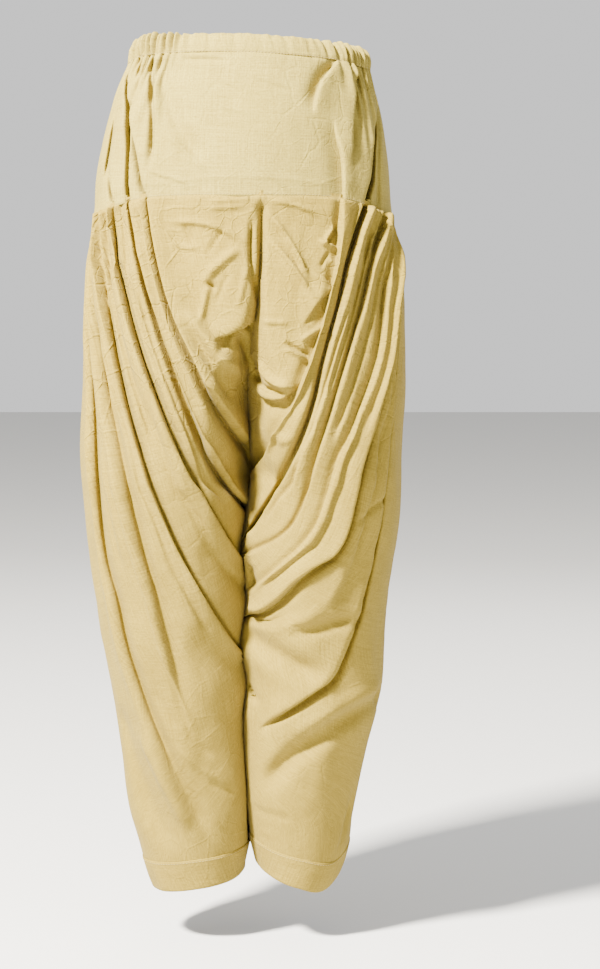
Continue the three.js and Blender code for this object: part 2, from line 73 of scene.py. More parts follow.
# Shape of the worn garment, in millimetres, as the solids have it.
outlineColumns = ("z", "left", "right", "back", "front")
outlineRows = [
    (2, -126, 126, -94, 90),
    (-21, -134, 139, -101, 95),
    (-55, -149, 149, -110, 102),
    (-90, -160, 157, -117, 108),
    (-124, -168, 162, -122, 112),
    (-160, -174, 166, -126, 115),
    (-193, -176, 168, -128, 117),
    (-228, -181, 174, -130, 120),
    (-263, -186, 181, -133, 123),
    (-333, -190, 184, -138, 127),
    (-402, -191, 185, -140, 129),
    (-473, -194, 181, -138, 127),
    (-543, -189, 179, -132, 121),
    (-614, -182, 170, -124, 113),
    (-684, -172, 162, -115, 105),
    (-755, -158, 157, -104, 95),
    (-827, -147, 139, -92, 85),
    (-898, -138, 125, -78, 75),
    (-934, -128, 120, -70, 70),
    (-970, -118, 109, -62, 66),
    (-992, -110, 98, -58, 64),
]

# Where the legs meet, seen from the back.
meetingColumns = ("z", "x")
meetingRows = [
    (-182, 19), (-235, 18), (-300, 14), (-350, 6), (-400, 2), (-450, 3), (-505, 4), (-545, 0), (-590, -7),
    (-640, -1), (-710, -6), (-735, 0), (-780, -3), (-830, -1), (-880, 2), (-992, 2),
]

# How far in the centre seam hangs above the crotch, and how wide the dip beside it is.
seamColumns = ("z", "back", "front", "width")
seamRows = [
    (-182, -128, 117, 9),
    (-200, -125, 115, 7),
    (-235, -123, 112, 7),
    (-290, -116, 103, 10),
    (-330, -101, 88, 18),
    (-400, -60, 59, 46),
    (-460, -31, 31, 50),
    (-490, -12, 12, 50),
    (-505, 0, 0, 50),
]

# Space between the legs below the crotch, and how flat they press on each other.
spaceColumns = ("z", "left", "right", "press")
spaceRows = [
    (-505, 0.5, 0.5, 0),
    (-522, 0.6, 0.6, 5),
    (-560, 0.6, 0.6, 7),
    (-880, 0.6, 0.6, 7),
    (-930, 1, 2, 2),
    (-960, 6, 8, 0),
    (-992, 8, 10, 0),
]

# Waist edge from the left side round the back to the right side and round the front.
waistColumns = ("round", "z")
waistRows = [
    (0, -8), (30, 0), (60, 1), (90, 0), (115, -3), (135, -6), (155, -11), (180, -13), (225, -12), (270, -12),
    (315, -10), (360, -8),
]

# Hems, from the outer side of a leg to its inner side.
hemColumns = ("angle", "leftBack", "leftFront", "rightBack", "rightFront")
hemRows = [
    (0, -987, -987, -968, -968),
    (45, -986, -981, -986, -966),
    (90, -980, -974, -978, -966),
    (135, -974, -968, -966, -960),
    (180, -966, -966, -952, -952),
]

cut = {
    "casingHeight": 22,
    "beltSeamHeight": -182,
    "beltSeamDrop": 25,
    "partingHeight": -212,
    "crotchHeight": -505,
    "hemBandHeight": 36,
    "hemRowsHeight": -900,
    "pressWave": 4,  # mm, of the wall where the legs press on each other, at the widest press
    "pressWaveLength": 90,
    "widestPress": 7,
    "seamGap": -0.4,  # less than none: the legs' edges overlap at the centre seam, so no light comes through
}
sideOf = {"left": -1, "right": 1}


def makeTable(columns, rows):
    ordered = sorted(rows)  # so that the first column rises
    return {name: np.array([row[i] for row in ordered], float) for i, name in enumerate(columns)}


outline = makeTable(outlineColumns, outlineRows)
meetingLine = makeTable(meetingColumns, meetingRows)
centreSeam = makeTable(seamColumns, seamRows)
legSpace = makeTable(spaceColumns, spaceRows)
waistEdge = makeTable(waistColumns, waistRows)
hemEdge = makeTable(hemColumns, hemRows)


def lookUp(table, at, column):
    first = next(iter(table))
    return np.interp(at, table[first], table[column])


def smoothLookUp(table, at, column):
    # a curve without corners through the table's rows
    knots = table[next(iter(table))]
    values = table[column]
    slopes = np.gradient(values, knots)
    at = np.clip(at, knots[0], knots[-1])
    i = np.clip(np.searchsorted(knots, at, side="right") - 1, 0, len(knots) - 2)
    width = knots[i + 1] - knots[i]
    t = (at - knots[i]) / width
    return (
        (2 * t**3 - 3 * t**2 + 1) * values[i]
        + (t**3 - 2 * t**2 + t) * width * slopes[i]
        + (3 * t**2 - 2 * t**3) * values[i + 1]
        + (t**3 - t**2) * width * slopes[i + 1]
    )


def smoothShare(share):
    s = np.clip(share, 0, 1)
    return s * s * (3 - 2 * s)


def mix(a, b, share):
    return a + (b - a) * share


def meetingX(z, face):
    # the front meeting line is straighter than the back one above the crotch
    back = smoothLookUp(meetingLine, z, "x")
    if face == "back":
        return back
    top, bottom = cut["beltSeamHeight"], cut["crotchHeight"]
    return back * np.clip((top - z) / (top - bottom), 0, 1)


def legSection(leg, z):
    # middle and half width outwards from the body's middle, middle and half depth in y
    side = sideOf[leg]
    other = "left" if leg == "right" else "right"
    own = smoothLookUp(outline, z, leg) * side
    opposite = smoothLookUp(outline, z, other) * side
    meeting = side * meetingX(z, "back") + lookUp(legSpace, z, leg) - lookUp(legSpace, z, "press")
    reach = cut["partingHeight"] - cut["crotchHeight"]
    parting = np.clip((cut["partingHeight"] - z) / reach, 0, 1) ** 1.3
    inner = mix(opposite, meeting, parting)
    back = smoothLookUp(outline, z, "back")
    front = smoothLookUp(outline, z, "front")
    return (own + inner) / 2, (own - inner) / 2, (back + front) / 2, (front - back) / 2


def angleAcross(leg, x, z):
    middle, halfWidth, _, _ = legSection(leg, z)
    return np.degrees(np.arccos(np.clip((sideOf[leg] * x - middle) / halfWidth, -1, 1)))


def endAngle(leg, z, face):
    # where the cloth stops at the centre seam; all the way round below the crotch
    end = angleAcross(leg, meetingX(z, face) + sideOf[leg] * cut["seamGap"] / 2, z)
    return np.where(z <= cut["crotchHeight"], 180.0, end)


# A fold has its depth, the height of its raised edge, the side of that edge (1: towards the centre and up,
# -1: outwards), how far the edge leans over, and its path as x and z on the back, in millimetres.
def fallingFold(depth, lip, rise, over, *path, **more):
    return dict(kind="falling", depth=depth, lip=lip, rise=rise, over=over, path=path, **more)


def pressedFold(*values, **more):
    return {**fallingFold(*values, **more), "kind": "pressed"}


# Troughs and ridges are even on both sides, with a depth and a width.
def trough(depth, width, *path):
    return dict(kind="trough", depth=depth, width=width, path=path)


def ridge(depth, width, *path):
    return dict(kind="ridge", depth=depth, width=width, path=path)


# Folds that fall from the belt seam, from the outer side of each leg to the centre.
fallingFolds = {
    "left": [
        fallingFold(7, 5, -1, 1, (-182, -228), (-178, -332), (-172, -411), (-168, -524), (-160, -593),
            (-145, -638), (-137, -684), (-123, -730), (-109, -770), (-92, -810), (-75, -852), (-59, -888),
            (-42, -914), (-28, -931), steep=6, trough=9, ending=80),
        fallingFold(6, 5, -1, 1, (-172, -207), (-169, -298), (-156, -393), (-140, -460), (-126, -533),
            (-112, -589), (-101, -623), (-94, -658), (-85, -692), (-76, -728), (-65, -757), (-52, -790),
            steep=5, trough=8, ending=110),
        fallingFold(7, 5, -1, 3, (-163, -201), (-158, -281), (-147, -348), (-132, -415), (-115, -476),
            (-95, -532), (-62, -608), (-33, -659), (-16, -689), (4, -722), start=0.6, ending=12),
        fallingFold(9, 5, -1, 4, (-150, -190), (-145, -255), (-133, -298), (-115, -362), (-88, -431),
            (-56, -507), (-20, -575), (-10, -596), (8, -626), start=0.6, ending=12),
        fallingFold(15, 3, 1, 1, (-130, -189), (-119, -255), (-100, -320), (-81, -375), (-57, -437),
            (-34, -494), (-7, -527), (10, -548), start=1.0, trough=3.6, ending=12),
        fallingFold(12, 6, 1, 2, (-108, -183), (-97, -253), (-79, -318), (-60, -359), (-38, -409),
            (-13, -452), (0, -469), (12, -486), start=0.7, trough=4.2, ending=12),
    ],
    "right": [
        fallingFold(8, 3, 1, 1.5, (169, -211), (176, -298), (168, -394), (161, -468), (154, -541),
            (144, -592), (136, -626), (130, -655), (121, -677), (113, -700), (105, -722), (96, -734),
            (79, -745), (62, -757), (45, -769), (28, -780), (14, -792), ending=50),
        fallingFold(7, 5, 1, 1, (166, -212), (173, -252), (164, -326), (154, -394), (141, -449), (126, -504),
            (115, -560), (101, -587), (84, -595), (62, -612), (45, -633), (34, -644), (19, -655), (4, -661),
            (-8, -664), ending=10),
        fallingFold(4, 3, -1, 2, (163, -209), (156, -286), (145, -376), (118, -443), (101, -476), (90, -521),
            (75, -560), (39, -596), (-10, -640), faint=0.5),
        fallingFold(7, 4, -1, 3, (157, -204), (142, -255), (132, -303), (118, -348), (95, -426), (78, -476),
            (65, -532), (45, -562), (5, -584), (-12, -592), start=0.7, faint=0.5, ending=12),
        fallingFold(16, 4, -1, 1, (138, -188), (117, -251), (108, -298), (92, -353), (73, -431), (43, -497),
            (7, -556), (-8, -578), start=1.0, trough=3.6, faint=0.6, ending=12),
        fallingFold(3.5, 4, -1, 1.5, (106, -180), (101, -253), (86, -320), (67, -375), (50, -414), (32, -454),
            (12, -488), (0, -506), trough=6),
    ],
}

# Swags and creases that cross the legs.
legCreases = {
    "left": [
        trough(11, 16, (-149, -759), (-137, -805), (-119, -862), (-100, -908), (-77, -946)),
        ridge(7, 10, (-121, -783), (-101, -829), (-81, -870), (-62, -913)),
        trough(2.4, 3.5, (-108, -735), (-92, -765), (-72, -790)),
        trough(3, 4, (-72, -780), (-56, -803), (-36, -824)),
        ridge(2.6, 3.5, (-80, -800), (-56, -832), (-26, -850)),
        trough(2.4, 3.5, (-48, -848), (-28, -858), (-8, -869)),
        ridge(3, 4, (-42, -944), (-30, -943), (-17, -944), (-2, -940)),
        trough(3, 4, (-40, -955), (-24, -954), (-4, -950)),
        ridge(3.5, 2.5, (-44, -189), (-10, -187), (10, -186)),
        ridge(3.2, 2.5, (-47, -196), (-10, -194), (8, -192)),
        ridge(5.2, 2.9, (-89, -210), (-49, -211), (-21, -220), (-5, -231), (5, -243)),
        ridge(6.5, 5, (-49, -281), (-32, -262), (-16, -248), (-1, -239)),
        trough(3.5, 2.2, (-41, -250), (-34, -235), (-18, -211)),
        trough(6.5, 2.5, (-43, -279), (-36, -281), (-32, -288)),
        ridge(5.7, 2.9, (-49, -325), (-44, -298), (-38, -275)),
        ridge(3.5, 2.5, (-8, -309), (-1, -281), (4, -255)),
        trough(3.2, 2.5, (-70, -214), (-61, -225), (-57, -237)),
        trough(2.9, 2.2, (-32, -304), (-24, -282), (-14, -262)),
        ridge(2.6, 2.2, (-84, -232), (-66, -240), (-44, -238)),
        pressedFold(16, 4, -1, 4, (20, -309), (12, -320), (-5, -329), (-18, -335), (-35, -345), trough=10,
            start=0.9),
        trough(9, 9, (-34, -352), (-14, -347), (4, -342)),
        trough(14, 4.5, (-3, -331), (-1, -348), (4, -362), (6, -372)),
        trough(12, 2.4, (12, -196), (8, -215), (7, -243), (9, -270), (13, -290), (15, -306)),
        ridge(7, 6, (-69, -300), (-52, -325), (-38, -346), (-24, -362), (-12, -373), (-8, -386), (-15, -398)),
        trough(7, 5, (-66, -320), (-48, -350), (-33, -374), (-24, -395), (-17, -415)),
        trough(7.2, 3.3, (4, -398), (6, -420)),
        trough(10.8, 3.3, (-2, -450), (4, -491)),
        ridge(2.4, 3.3, (-105, -560), (-98, -604), (-84, -650)),
        trough(2.1, 2.5, (-66, -420), (-52, -447), (-44, -470)),
    ],
    "right": [
        trough(12, 6, (4, -598), (7, -614), (10, -630)),
        ridge(5, 4, (24, -650), (12, -649), (2, -641), (-8, -630)),
        trough(9, 5, (-8, -644), (2, -656), (18, -668), (36, -660), (52, -644)),
        ridge(4, 9, (2, -664), (34, -666), (62, -660), (90, -648), (116, -636)),
        trough(8, 8, (51, -678), (85, -666), (113, -658), (132, -664)),
        trough(15, 12, (-4, -676), (6, -684), (22, -693), (45, -705), (68, -718), (94, -730)),
        trough(10, 4, (0, -738), (6, -749), (15, -764)),
        ridge(5, 12, (156, -742), (131, -750), (108, -760), (85, -774), (62, -791), (45, -806)),
        trough(13, 12, (166, -756), (153, -761), (131, -768), (108, -779), (85, -795), (62, -811), (45, -826),
            (30, -845), (18, -866)),
        pressedFold(10, 3, 1, 0.5, (125, -856), (118, -890), (111, -919), (103, -946), (98, -962), steep=2.6,
            trough=12, ending=10),
        ridge(3, 5, (4, -930), (18, -915), (30, -915), (44, -920)),
        trough(3.5, 5, (6, -941), (20, -927), (34, -927)),
        trough(5, 6, (69, -951), (85, -946), (104, -950)),
        trough(2, 5, (6, -882), (18, -890), (37, -891), (57, -897)),
        pressedFold(8, 6, 1, 1, (70, -384), (45, -414), (20, -409), (6, -397), steep=3, trough=12),
        ridge(6.5, 3.3, (24, -198), (42, -220), (55, -242), (66, -262), (73, -280)),
        trough(3.9, 2.5, (27, -205), (46, -229), (58, -252), (64, -270)),
        ridge(5.7, 3.3, (26, -227), (45, -249), (64, -275), (79, -297)),
        pressedFold(3.5, 4, 1, 1, (74, -265), (90, -271), (98, -281), (96, -289), (83, -302), (75, -315),
            (64, -332), trough=9, start=0.3),
        ridge(3.5, 2.5, (24, -187), (51, -190), (82, -202)),
        trough(4.8, 2.2, (105, -213), (96, -228), (90, -238)),
        ridge(4.3, 2.2, (101, -212), (92, -227), (85, -240)),
        trough(3.9, 2.2, (96, -242), (89, -253), (84, -263)),
        ridge(5.7, 2.5, (80, -231), (93, -236), (105, -241)),
        ridge(3.5, 2.2, (94, -251), (103, -261)),
        ridge(3.5, 2.5, (18, -322), (34, -322), (51, -324)),
        ridge(5.7, 2.5, (60, -343), (78, -334), (88, -321)),
        trough(5.2, 2.5, (43, -343), (59, -353), (74, -360)),
        ridge(4.8, 2.5, (43, -350), (58, -358), (74, -366)),
        ridge(7, 3.3, (18, -362), (26, -382), (42, -392), (60, -397)),
        trough(8.7, 3.3, (9, -376), (17, -393), (34, -400), (53, -402)),
        trough(12, 4.5, (6, -357), (11, -381), (16, -394)),
        ridge(4, 8, (34, -442), (51, -459)),
        trough(9, 6, (22, -534), (10, -550), (6, -566)),
        trough(4.5, 2.9, (159, -518), (135, -539), (120, -550)),
    ],
}

# Folds and pressed creases of the belt. Those that reach the seam run on past it.
beltCreases = [
    pressedFold(28, 3, 1, 0.5, (-134, -34), (-132.5, -71), (-131.5, -117), (-131.5, -146), (-132, -174),
        (-130, -200), (-124, -240), trough=3.0, start=0.6),
    pressedFold(14, 6, 1, 2, (-130, -62), (-127, -95), (-122, -124), (-117, -146), (-113, -172), (-108, -188),
        (-100, -240), trough=6),
    pressedFold(7, 2, -1, 1, (-147, -76), (-152, -100), (-156, -124), (-159, -140), (-161, -166), trough=7),
    pressedFold(14, 3, 1, 1, (-156, -140), (-153, -173), (-149, -190), (-143, -240), trough=5),
    trough(6, 3.3, (-117, -16), (-120, -30), (-122, -52)),
    trough(11, 3.0, (-107, 4), (-106, -44), (-104.5, -73), (-104, -118), (-106, -158)),
    ridge(4, 4, (-100, -14), (-99, -50), (-98, -80), (-98, -112)),
    trough(7, 9, (-95, -18), (-91, -45), (-86, -70), (-77, -97), (-63, -121), (-42, -147)),
    trough(3, 12, (-93, -28), (-78, -38), (-55, -41), (-33, -53), (-14, -75), (0, -98)),
    trough(3, 2.9, (-75, -25), (-61, -29), (-33, -29), (-14, -33)),
    ridge(2.4, 2.2, (-95, -108), (-72, -125), (-49, -148), (-38, -164)),
    ridge(2.4, 2.2, (-112, -146), (-95, -158), (-72, -162), (-58, -174)),
    ridge(2.1, 2.2, (1, -137), (34, -164), (54, -180)),
    ridge(1.5, 2.2, (-44, -70), (-20, -84), (6, -92)),
    trough(1.5, 2.5, (10, -52), (34, -60), (60, -66)),
    pressedFold(8, 4, 1, 2, (106, -18), (96, -37), (87, -48), (81, -61), (78, -72), (75, -92), trough=9,
        start=0.7),
    pressedFold(9, 4, -1, 2, (119, -18), (123, -28), (126, -39), (125, -55), (124, -72), (123, -95),
        (121, -118), (121, -150), trough=9, start=0.9),
    pressedFold(5, 4, 1, 2, (98, -90), (102, -119), (108, -135), (109, -163), (110, -186), (109, -230),
        trough=14),
    pressedFold(28, 2, -1, 0.5, (148, -56), (147, -116), (146, -139), (144, -162), (140, -173), (137, -190),
        (124, -230), trough=3.8),
    trough(7, 4.5, (152, -60), (152, -115), (151, -150), (151, -186), (151, -220)),
    ridge(0.7, 2.4, (-118, -172), (-60, -163), (0, -160), (60, -163), (112, -172)),
]

foldShape = {
    "deepen": 1.6,  # the falling folds hang deeper in the cloth than in the solids
    "raise": 1.9,
    "leanMore": 1.3,
    "steep": 2.2,  # mm, climb to the raised edge
    "lip": 18,
    "trough": 5,
    "opening": 45,
    "ending": 35,
    "hemCalm": 60,
    "reach": 60,  # mm beyond its path, where a fold ends
    "crest": (4.5, 3.2),  # mm from the path to the edge that leans over, and how wide it is
    "tuck": (0.45, -0.2, 1.6),  # share of the lean that the hollow takes, where it is, and how wide
    "straight": (0.85, 6, 16),  # share that hollows run straight in, away from the sides by so many degrees
    "lowEdges": (0.2, 26, 20),  # share of an edge's height left at the sides, and how far that reaches
}

# Fine pleats caught in the belt seam between the large folds, on the back and copied to the front.
smallPleats = {
    "left": [
        fallingFold(3.0, 1.6, 1, 0.5, (-168, -200), (-165, -240), (-163, -276), start=0.9),
        fallingFold(3.4, 1.8, -1, 0.5, (-157, -194), (-154, -250), (-148, -330), start=0.9),
        fallingFold(5.0, 1.8, 1, 0.5, (-150, -222), (-148, -247), (-145, -272), start=0.4),
        fallingFold(2.6, 1.4, -1, 0.5, (-141, -188), (-137, -225), (-131, -272), start=0.9),
        fallingFold(1.8, 1.2, 1, 0.5, (-127, -213), (-120, -242), (-114, -264), start=0.3),
    ],
    "right": [
        fallingFold(3.0, 1.4, 1, 0.5, (163, -206), (163, -240), (160, -282), start=0.9),
        fallingFold(3.2, 1.6, -1, 0.5, (157, -200), (151, -224), (145, -252), start=0.9),
        fallingFold(2.4, 1.2, -1, 0.5, (147, -194), (140, -224), (132, -262), start=0.9),
    ],
}

# Softer folds between two of the large ones: which fold, how far towards the next one in to the centre,
# where it starts and ends along them, depth, raised edge, and the side that it lies on.
foldsBetween = {
    "left": [
        (0, 0.45, 0.04, 0.60, 2.2, 1.6, 1), (0, 0.75, 0.40, 0.95, 1.6, 1.4, 1),
        (1, 0.35, 0.00, 0.42, 2.6, 1.8, 1), (1, 0.70, 0.22, 0.90, 2.0, 1.4, -1),
        (2, 0.45, 0.00, 0.55, 2.8, 1.8, -1), (2, 0.70, 0.45, 0.98, 2.0, 1.6, 1),
        (3, 0.30, 0.02, 0.50, 2.4, 1.6, -1), (3, 0.62, 0.20, 0.88, 2.6, 1.8, -1),
        (4, 0.50, 0.05, 0.72, 2.2, 1.5, 1), (4, 0.25, 0.30, 0.95, 1.6, 1.2, -1),
    ],
    "right": [
        (0, 0.50, 0.06, 0.48, 2.2, 1.5, 1), (0, 0.60, 0.42, 0.90, 2.4, 1.8, 1),
        (1, 0.45, 0.03, 0.55, 2.4, 1.6, -1), (1, 0.70, 0.48, 0.96, 2.2, 1.6, 1),
        (2, 0.50, 0.04, 0.62, 2.0, 1.4, -1), (3, 0.35, 0.00, 0.55, 2.8, 1.8, -1),
        (3, 0.68, 0.25, 0.93, 2.6, 1.8, -1), (4, 0.30, 0.02, 0.58, 2.4, 1.6, -1),
        (4, 0.65, 0.10, 0.85, 2.2, 1.6, 1),
    ],
}


def pathBetween(first, second, share, start, end):
    # a path between two others, point for point at the same part of their heights
    made = []
    for along in np.linspace(start, end, 8):
        ends = []
        for path in (first, second):
            z = mix(path[0, 1], path[-1, 1], along)
            ends.append(np.array([angleAt(path, z), z]))
        made.append(mix(ends[0], ends[1], share))
    return np.array(made)


def betweenFolds(leg, falling):
    made = []
    for i, share, start, end, depth, lip, rise in foldsBetween[leg]:
        path = pathBetween(falling[i]["path"], falling[i + 1]["path"], share, start, end)
        fold = fallingFold(depth, lip, rise, 1.5, start=0.8 if start < 0.1 else 0.05)
        made.append({**fold, "path": path})
    return made


# The front hangs like the back, with each fold moved and weakened a little.
frontShare = [0.9, 1.1, 0.8, 1.0, 1.2, 0.9]
frontShift = [3, -3, 4, -2, 3, -4]  # degrees
frontDrop = 6  # mm
frontBeltShare = 0.45  # the front belt's folds are shallower still


def rounded(path):
    # the same path with its corners cut twice
    for _ in range(2):
        first, second = path[:-1], path[1:]
        near, far = 0.75 * first + 0.25 * second, 0.25 * first + 0.75 * second
        path = np.concatenate([path[:1], np.stack([near, far], axis=1).reshape(-1, 2)[1:-1], path[-1:]])
    return path


def closer(path, gap=15):
    # the same path with a point at least every 15 mm
    made = [path[:1]]
    for first, second in zip(path[:-1], path[1:]):
        count = math.ceil(np.linalg.norm(second - first) / gap)
        made.append(first + (second - first) * np.arange(1, count + 1)[:, None] / count)
    return np.concatenate(made)


def anglePaths(leg, folds):
    made = []
    for fold in folds:
        points = closer(rounded(np.array(fold["path"], float)))
        angles = angleAcross(leg, points[:, 0], points[:, 1])
        made.append({**fold, "path": np.column_stack([angles, points[:, 1]])})
    return made


def onFace(face, folds):
    # the folds as they are on the back, or moved and weakened for the front
    if face == "back":
        return folds
    made = []
    for i, fold in enumerate(folds):
        path = fold["path"].copy()
        path[:, 0] = np.clip(path[:, 0] + frontShift[i % len(frontShift)], 2, 178)
        path[:, 1] -= frontDrop
        made.append({**fold, "path": path, "depth": fold["depth"] * frontShare[i % len(frontShare)]})
    return made


def nearestOnPath(path, angle, z, reach):
    # for every vertex the path's nearest place: how far off, on which side, in which direction across and up
    # the cloth, and how far along; and the path's whole length
    nearest = np.zeros((5,) + angle.shape)
    nearest[0], nearest[1] = 1e9, 1
    walked = np.zeros(angle.shape)
    for (angle0, height0), (angle1, height1) in zip(path[:-1], path[1:]):
        x0, z0 = (angle0 - angle) * reach, height0 - z
        x1, z1 = (angle1 - angle) * reach, height1 - z
        dx, dz = x1 - x0, z1 - z0
        length = np.hypot(dx, dz) + 1e-9
        share = np.clip(-(x0 * dx + z0 * dz) / length**2, 0, 1)
        px, pz = x0 + dx * share, z0 + dz * share
        side = np.sign(dz * px - dx * pz)
        here = np.array([np.hypot(px, pz), side, -dz / length, dx / length, walked + share * length])
        nearest = np.where(here[0] < nearest[0], here, nearest)
        walked = walked + length
    return (*nearest, walked)


def foldField(folds, angle, z, reach):
    # rise off the plain form and the sideways lean of the raised edges, all in millimetres
    rise = np.zeros(angle.shape)
    leanAcross = np.zeros(angle.shape)
    leanUp = np.zeros(angle.shape)
    for fold in folds:
        path, margin = fold["path"], foldShape["reach"]
        inside = (
            (angle > path[:, 0].min() - margin / reach) & (angle < path[:, 0].max() + margin / reach)
            & (z > path[:, 1].min() - margin) & (z < path[:, 1].max() + margin)
        )
        if not inside.any():
            continue
        a, h, r = angle[inside], z[inside], reach[inside]
        nearest, sign, normalAcross, normalUp, travelled, walked = nearestOnPath(path, a, h, r)
        ending = np.minimum(fold.get("ending", foldShape["ending"]), walked * 0.3)
        close = smoothShare((walked - travelled) / ending)
        kind = fold["kind"]
        if kind in ("trough", "ridge"):
            opened = smoothShare(travelled / ending + 0.02)
            shape = np.exp(-((nearest / fold["width"]) ** 2)) * fold["depth"] * opened * close
            rise[inside] += shape if kind == "ridge" else -shape
            continue
        start = fold.get("start", 0.35 if kind == "falling" else 0.0)
        opened = start + (1 - start) * smoothShare(travelled / foldShape["opening"])
        opened = opened * mix(1, fold.get("faint", 1), smoothShare(travelled / walked * 1.5))
        across = nearest * sign * fold["rise"]
        steep, hollow = (fold.get(key, foldShape[key]) for key in ("steep", "trough"))
        width = np.where(across > 0, steep, hollow)
        sunk = np.exp(-((np.abs(across) / width) ** 2))
        lip = np.where(across > 0, (1 - sunk) * np.exp(-((across / foldShape["lip"]) ** 2)), 0)
        deepen, higher = (foldShape["deepen"], foldShape["raise"]) if kind == "falling" else (1, 1)
        rise[inside] += opened * close * (higher * fold["lip"] * lip - deepen * fold["depth"] * sunk)
        (crestAt, crestWidth), (tuckShare, tuckAt, tuckWidth) = foldShape["crest"], foldShape["tuck"]
        crest = np.exp(-(((across - crestAt) / crestWidth) ** 2)) * (across > 0)
        tuck = np.exp(-(((across - tuckAt) / tuckWidth) ** 2))
        lean = opened * close * fold["over"] * foldShape["leanMore"] * (tuckShare * tuck - crest)
        leanAcross[inside] += lean * normalAcross * fold["rise"]
        leanUp[inside] += lean * normalUp * fold["rise"]
    return rise, leanAcross, leanUp


def beltSeam(angle):
    return cut["beltSeamHeight"] - cut["beltSeamDrop"] * np.abs(np.cos(np.radians(angle))) ** 5


def hemHeight(leg, face, angle):
    return smoothLookUp(hemEdge, angle, leg + face.capitalize())


def angleAt(path, z):
    return np.interp(z, path[::-1, 1], path[::-1, 0])


def lengthOfDegree(halfWidth, halfDepth, angle):
    turn = np.radians(angle)
    return math.pi / 180 * np.hypot(halfWidth * np.sin(turn), halfDepth * np.cos(turn))


def gatheredShares(steps, towardsStart, towardsEnd, amount):
    # places between two fold lines, closer together beside the lines
    s = np.arange(steps) / steps
    if towardsStart and towardsEnd:
        close = (1 - np.cos(math.pi * s)) / 2
    elif towardsStart:
        close = 1 - np.cos(math.pi * s / 2)
    elif towardsEnd:
        close = np.sin(math.pi * s / 2)
    else:
        close = s
    return mix(s, close, amount)


def foldColumns(folds, steps, end, levels, leastGap, amount):
    # angles of the columns at every row, with a column on each fold line
    lines = [np.zeros(len(levels))]
    for i, fold in enumerate(folds):
        room = (len(folds) - i) * leastGap
        lines.append(np.clip(angleAt(fold["path"], levels), lines[i] + leastGap, end - room))
    lines.append(end)
    columns = []
    for i, count in enumerate(steps):
        shares = gatheredShares(count, i > 0, i < len(folds), amount)
        columns.append(lines[i][:, None] + (lines[i + 1] - lines[i])[:, None] * shares)
    columns.append(end[:, None])
    return np.hstack(columns)


legCloth = {
    "rowsAbove": 150,
    "rowsBelow": 132,
    "rowsAtHem": 18,
    "steps": {"back": [24, 18, 18, 20, 24, 30, 62], "front": [18, 12, 12, 12, 14, 14, 16]},
    "leastGap": 1.8,
    "gather": 0.66,
    "tuckAbove": 6,  # mm of cloth behind the belt's edge
    "tuckBelow": 5,
    "seamPuff": 2.0,  # mm the cloth swells below the belt, and how far down
    "seamPuffReach": 28,
    "slitDepth": 8,  # mm that the centre seam is sucked in below the belt, as a dark slit
    "slitWidth": 4.5,
    "slitHeights": (-186, -196, -262, -322),  # starts, is deepest from and to, and ends
    "evenHem": (0.75, -790, 120),  # share of even columns at the hem, from which height and over how much
    "crotchEase": (26, 16),  # mm above and below the crotch, and rounds, in which the plain form is softened
    "wrinkles": [(48, 110, 4.0), (22, 46, 1.2), (11, 20, 0.5)],  # mm across, mm along, mm high
    "seeds": {"left": 3.7, "right": 9.2},
}


def legForm(leg, face, angle, z):
    # plain form with the dip beside the centre seam; calm fades folds out beside the seam
    side = sideOf[leg]
    turn = -1 if face == "back" else 1
    middle, halfWidth, centreY, halfDepth = legSection(leg, z)
    across = middle + halfWidth * np.cos(np.radians(angle))
    y = centreY + turn * halfDepth * np.sin(np.radians(angle))
    end = np.radians(endAngle(leg, z, face))
    endAcross = middle + halfWidth * np.cos(end)
    endY = centreY + turn * halfDepth * np.sin(end)
    width = smoothLookUp(centreSeam, z, "width")
    beside = np.clip(1 - (across - endAcross) / width, 0, 1)
    above = z > cut["crotchHeight"]
    y = np.where(above, y + (smoothLookUp(centreSeam, z, face) - endY) * beside**1.6, y)
    calm = np.where(above, 1 - beside**14, 1)
    if face == "back":
        starts, deepFrom, deepTo, ends = legCloth["slitHeights"]
        window = smoothShare((starts - z) / (starts - deepFrom)) * smoothShare((z - ends) / (deepTo - ends))
        groove = np.exp(-(((across - endAcross) / legCloth["slitWidth"]) ** 2))
        y = y + legCloth["slitDepth"] * window * groove
    return side * across, y, calm


def innerLimit(leg, face, y, z):
    # the legs press on each other along a shared wavy wall below the crotch
    side = sideOf[leg]
    press = lookUp(legSpace, z, "press")
    wave = cut["pressWave"] * np.sin(y / cut["pressWaveLength"] * 2 * math.pi) * press / cut["widestPress"]
    above = side * meetingX(z, face) + cut["seamGap"] / 2
    below = side * (meetingX(z, "back") + wave) + lookUp(legSpace, z, leg)
    return np.where(z > cut["crotchHeight"], above, below)


def evened(values, times=1):
    for _ in range(times):
        values = values.copy()
        values[1:-1] = (values[:-2] + 2 * values[1:-1] + values[2:]) / 4
    return values


def unevenness(points, across, along, seed):
    # soft random height for every vertex, longer up and down than across
    scaled = points / (across, across, along) + seed
    heights = [noise.noise(place) for place in scaled.reshape(-1, 3).tolist()]
    return np.array(heights).reshape(points.shape[:-1])


def unit(vectors):
    return vectors / np.maximum(np.linalg.norm(vectors, axis=-1, keepdims=True), 1e-9)


def awayFromSides(angle, calm, reach):
    # 0 at both sides of a half turn, 1 between them
    return smoothShare((angle - calm) / reach) * smoothShare((180 - calm - angle) / reach)


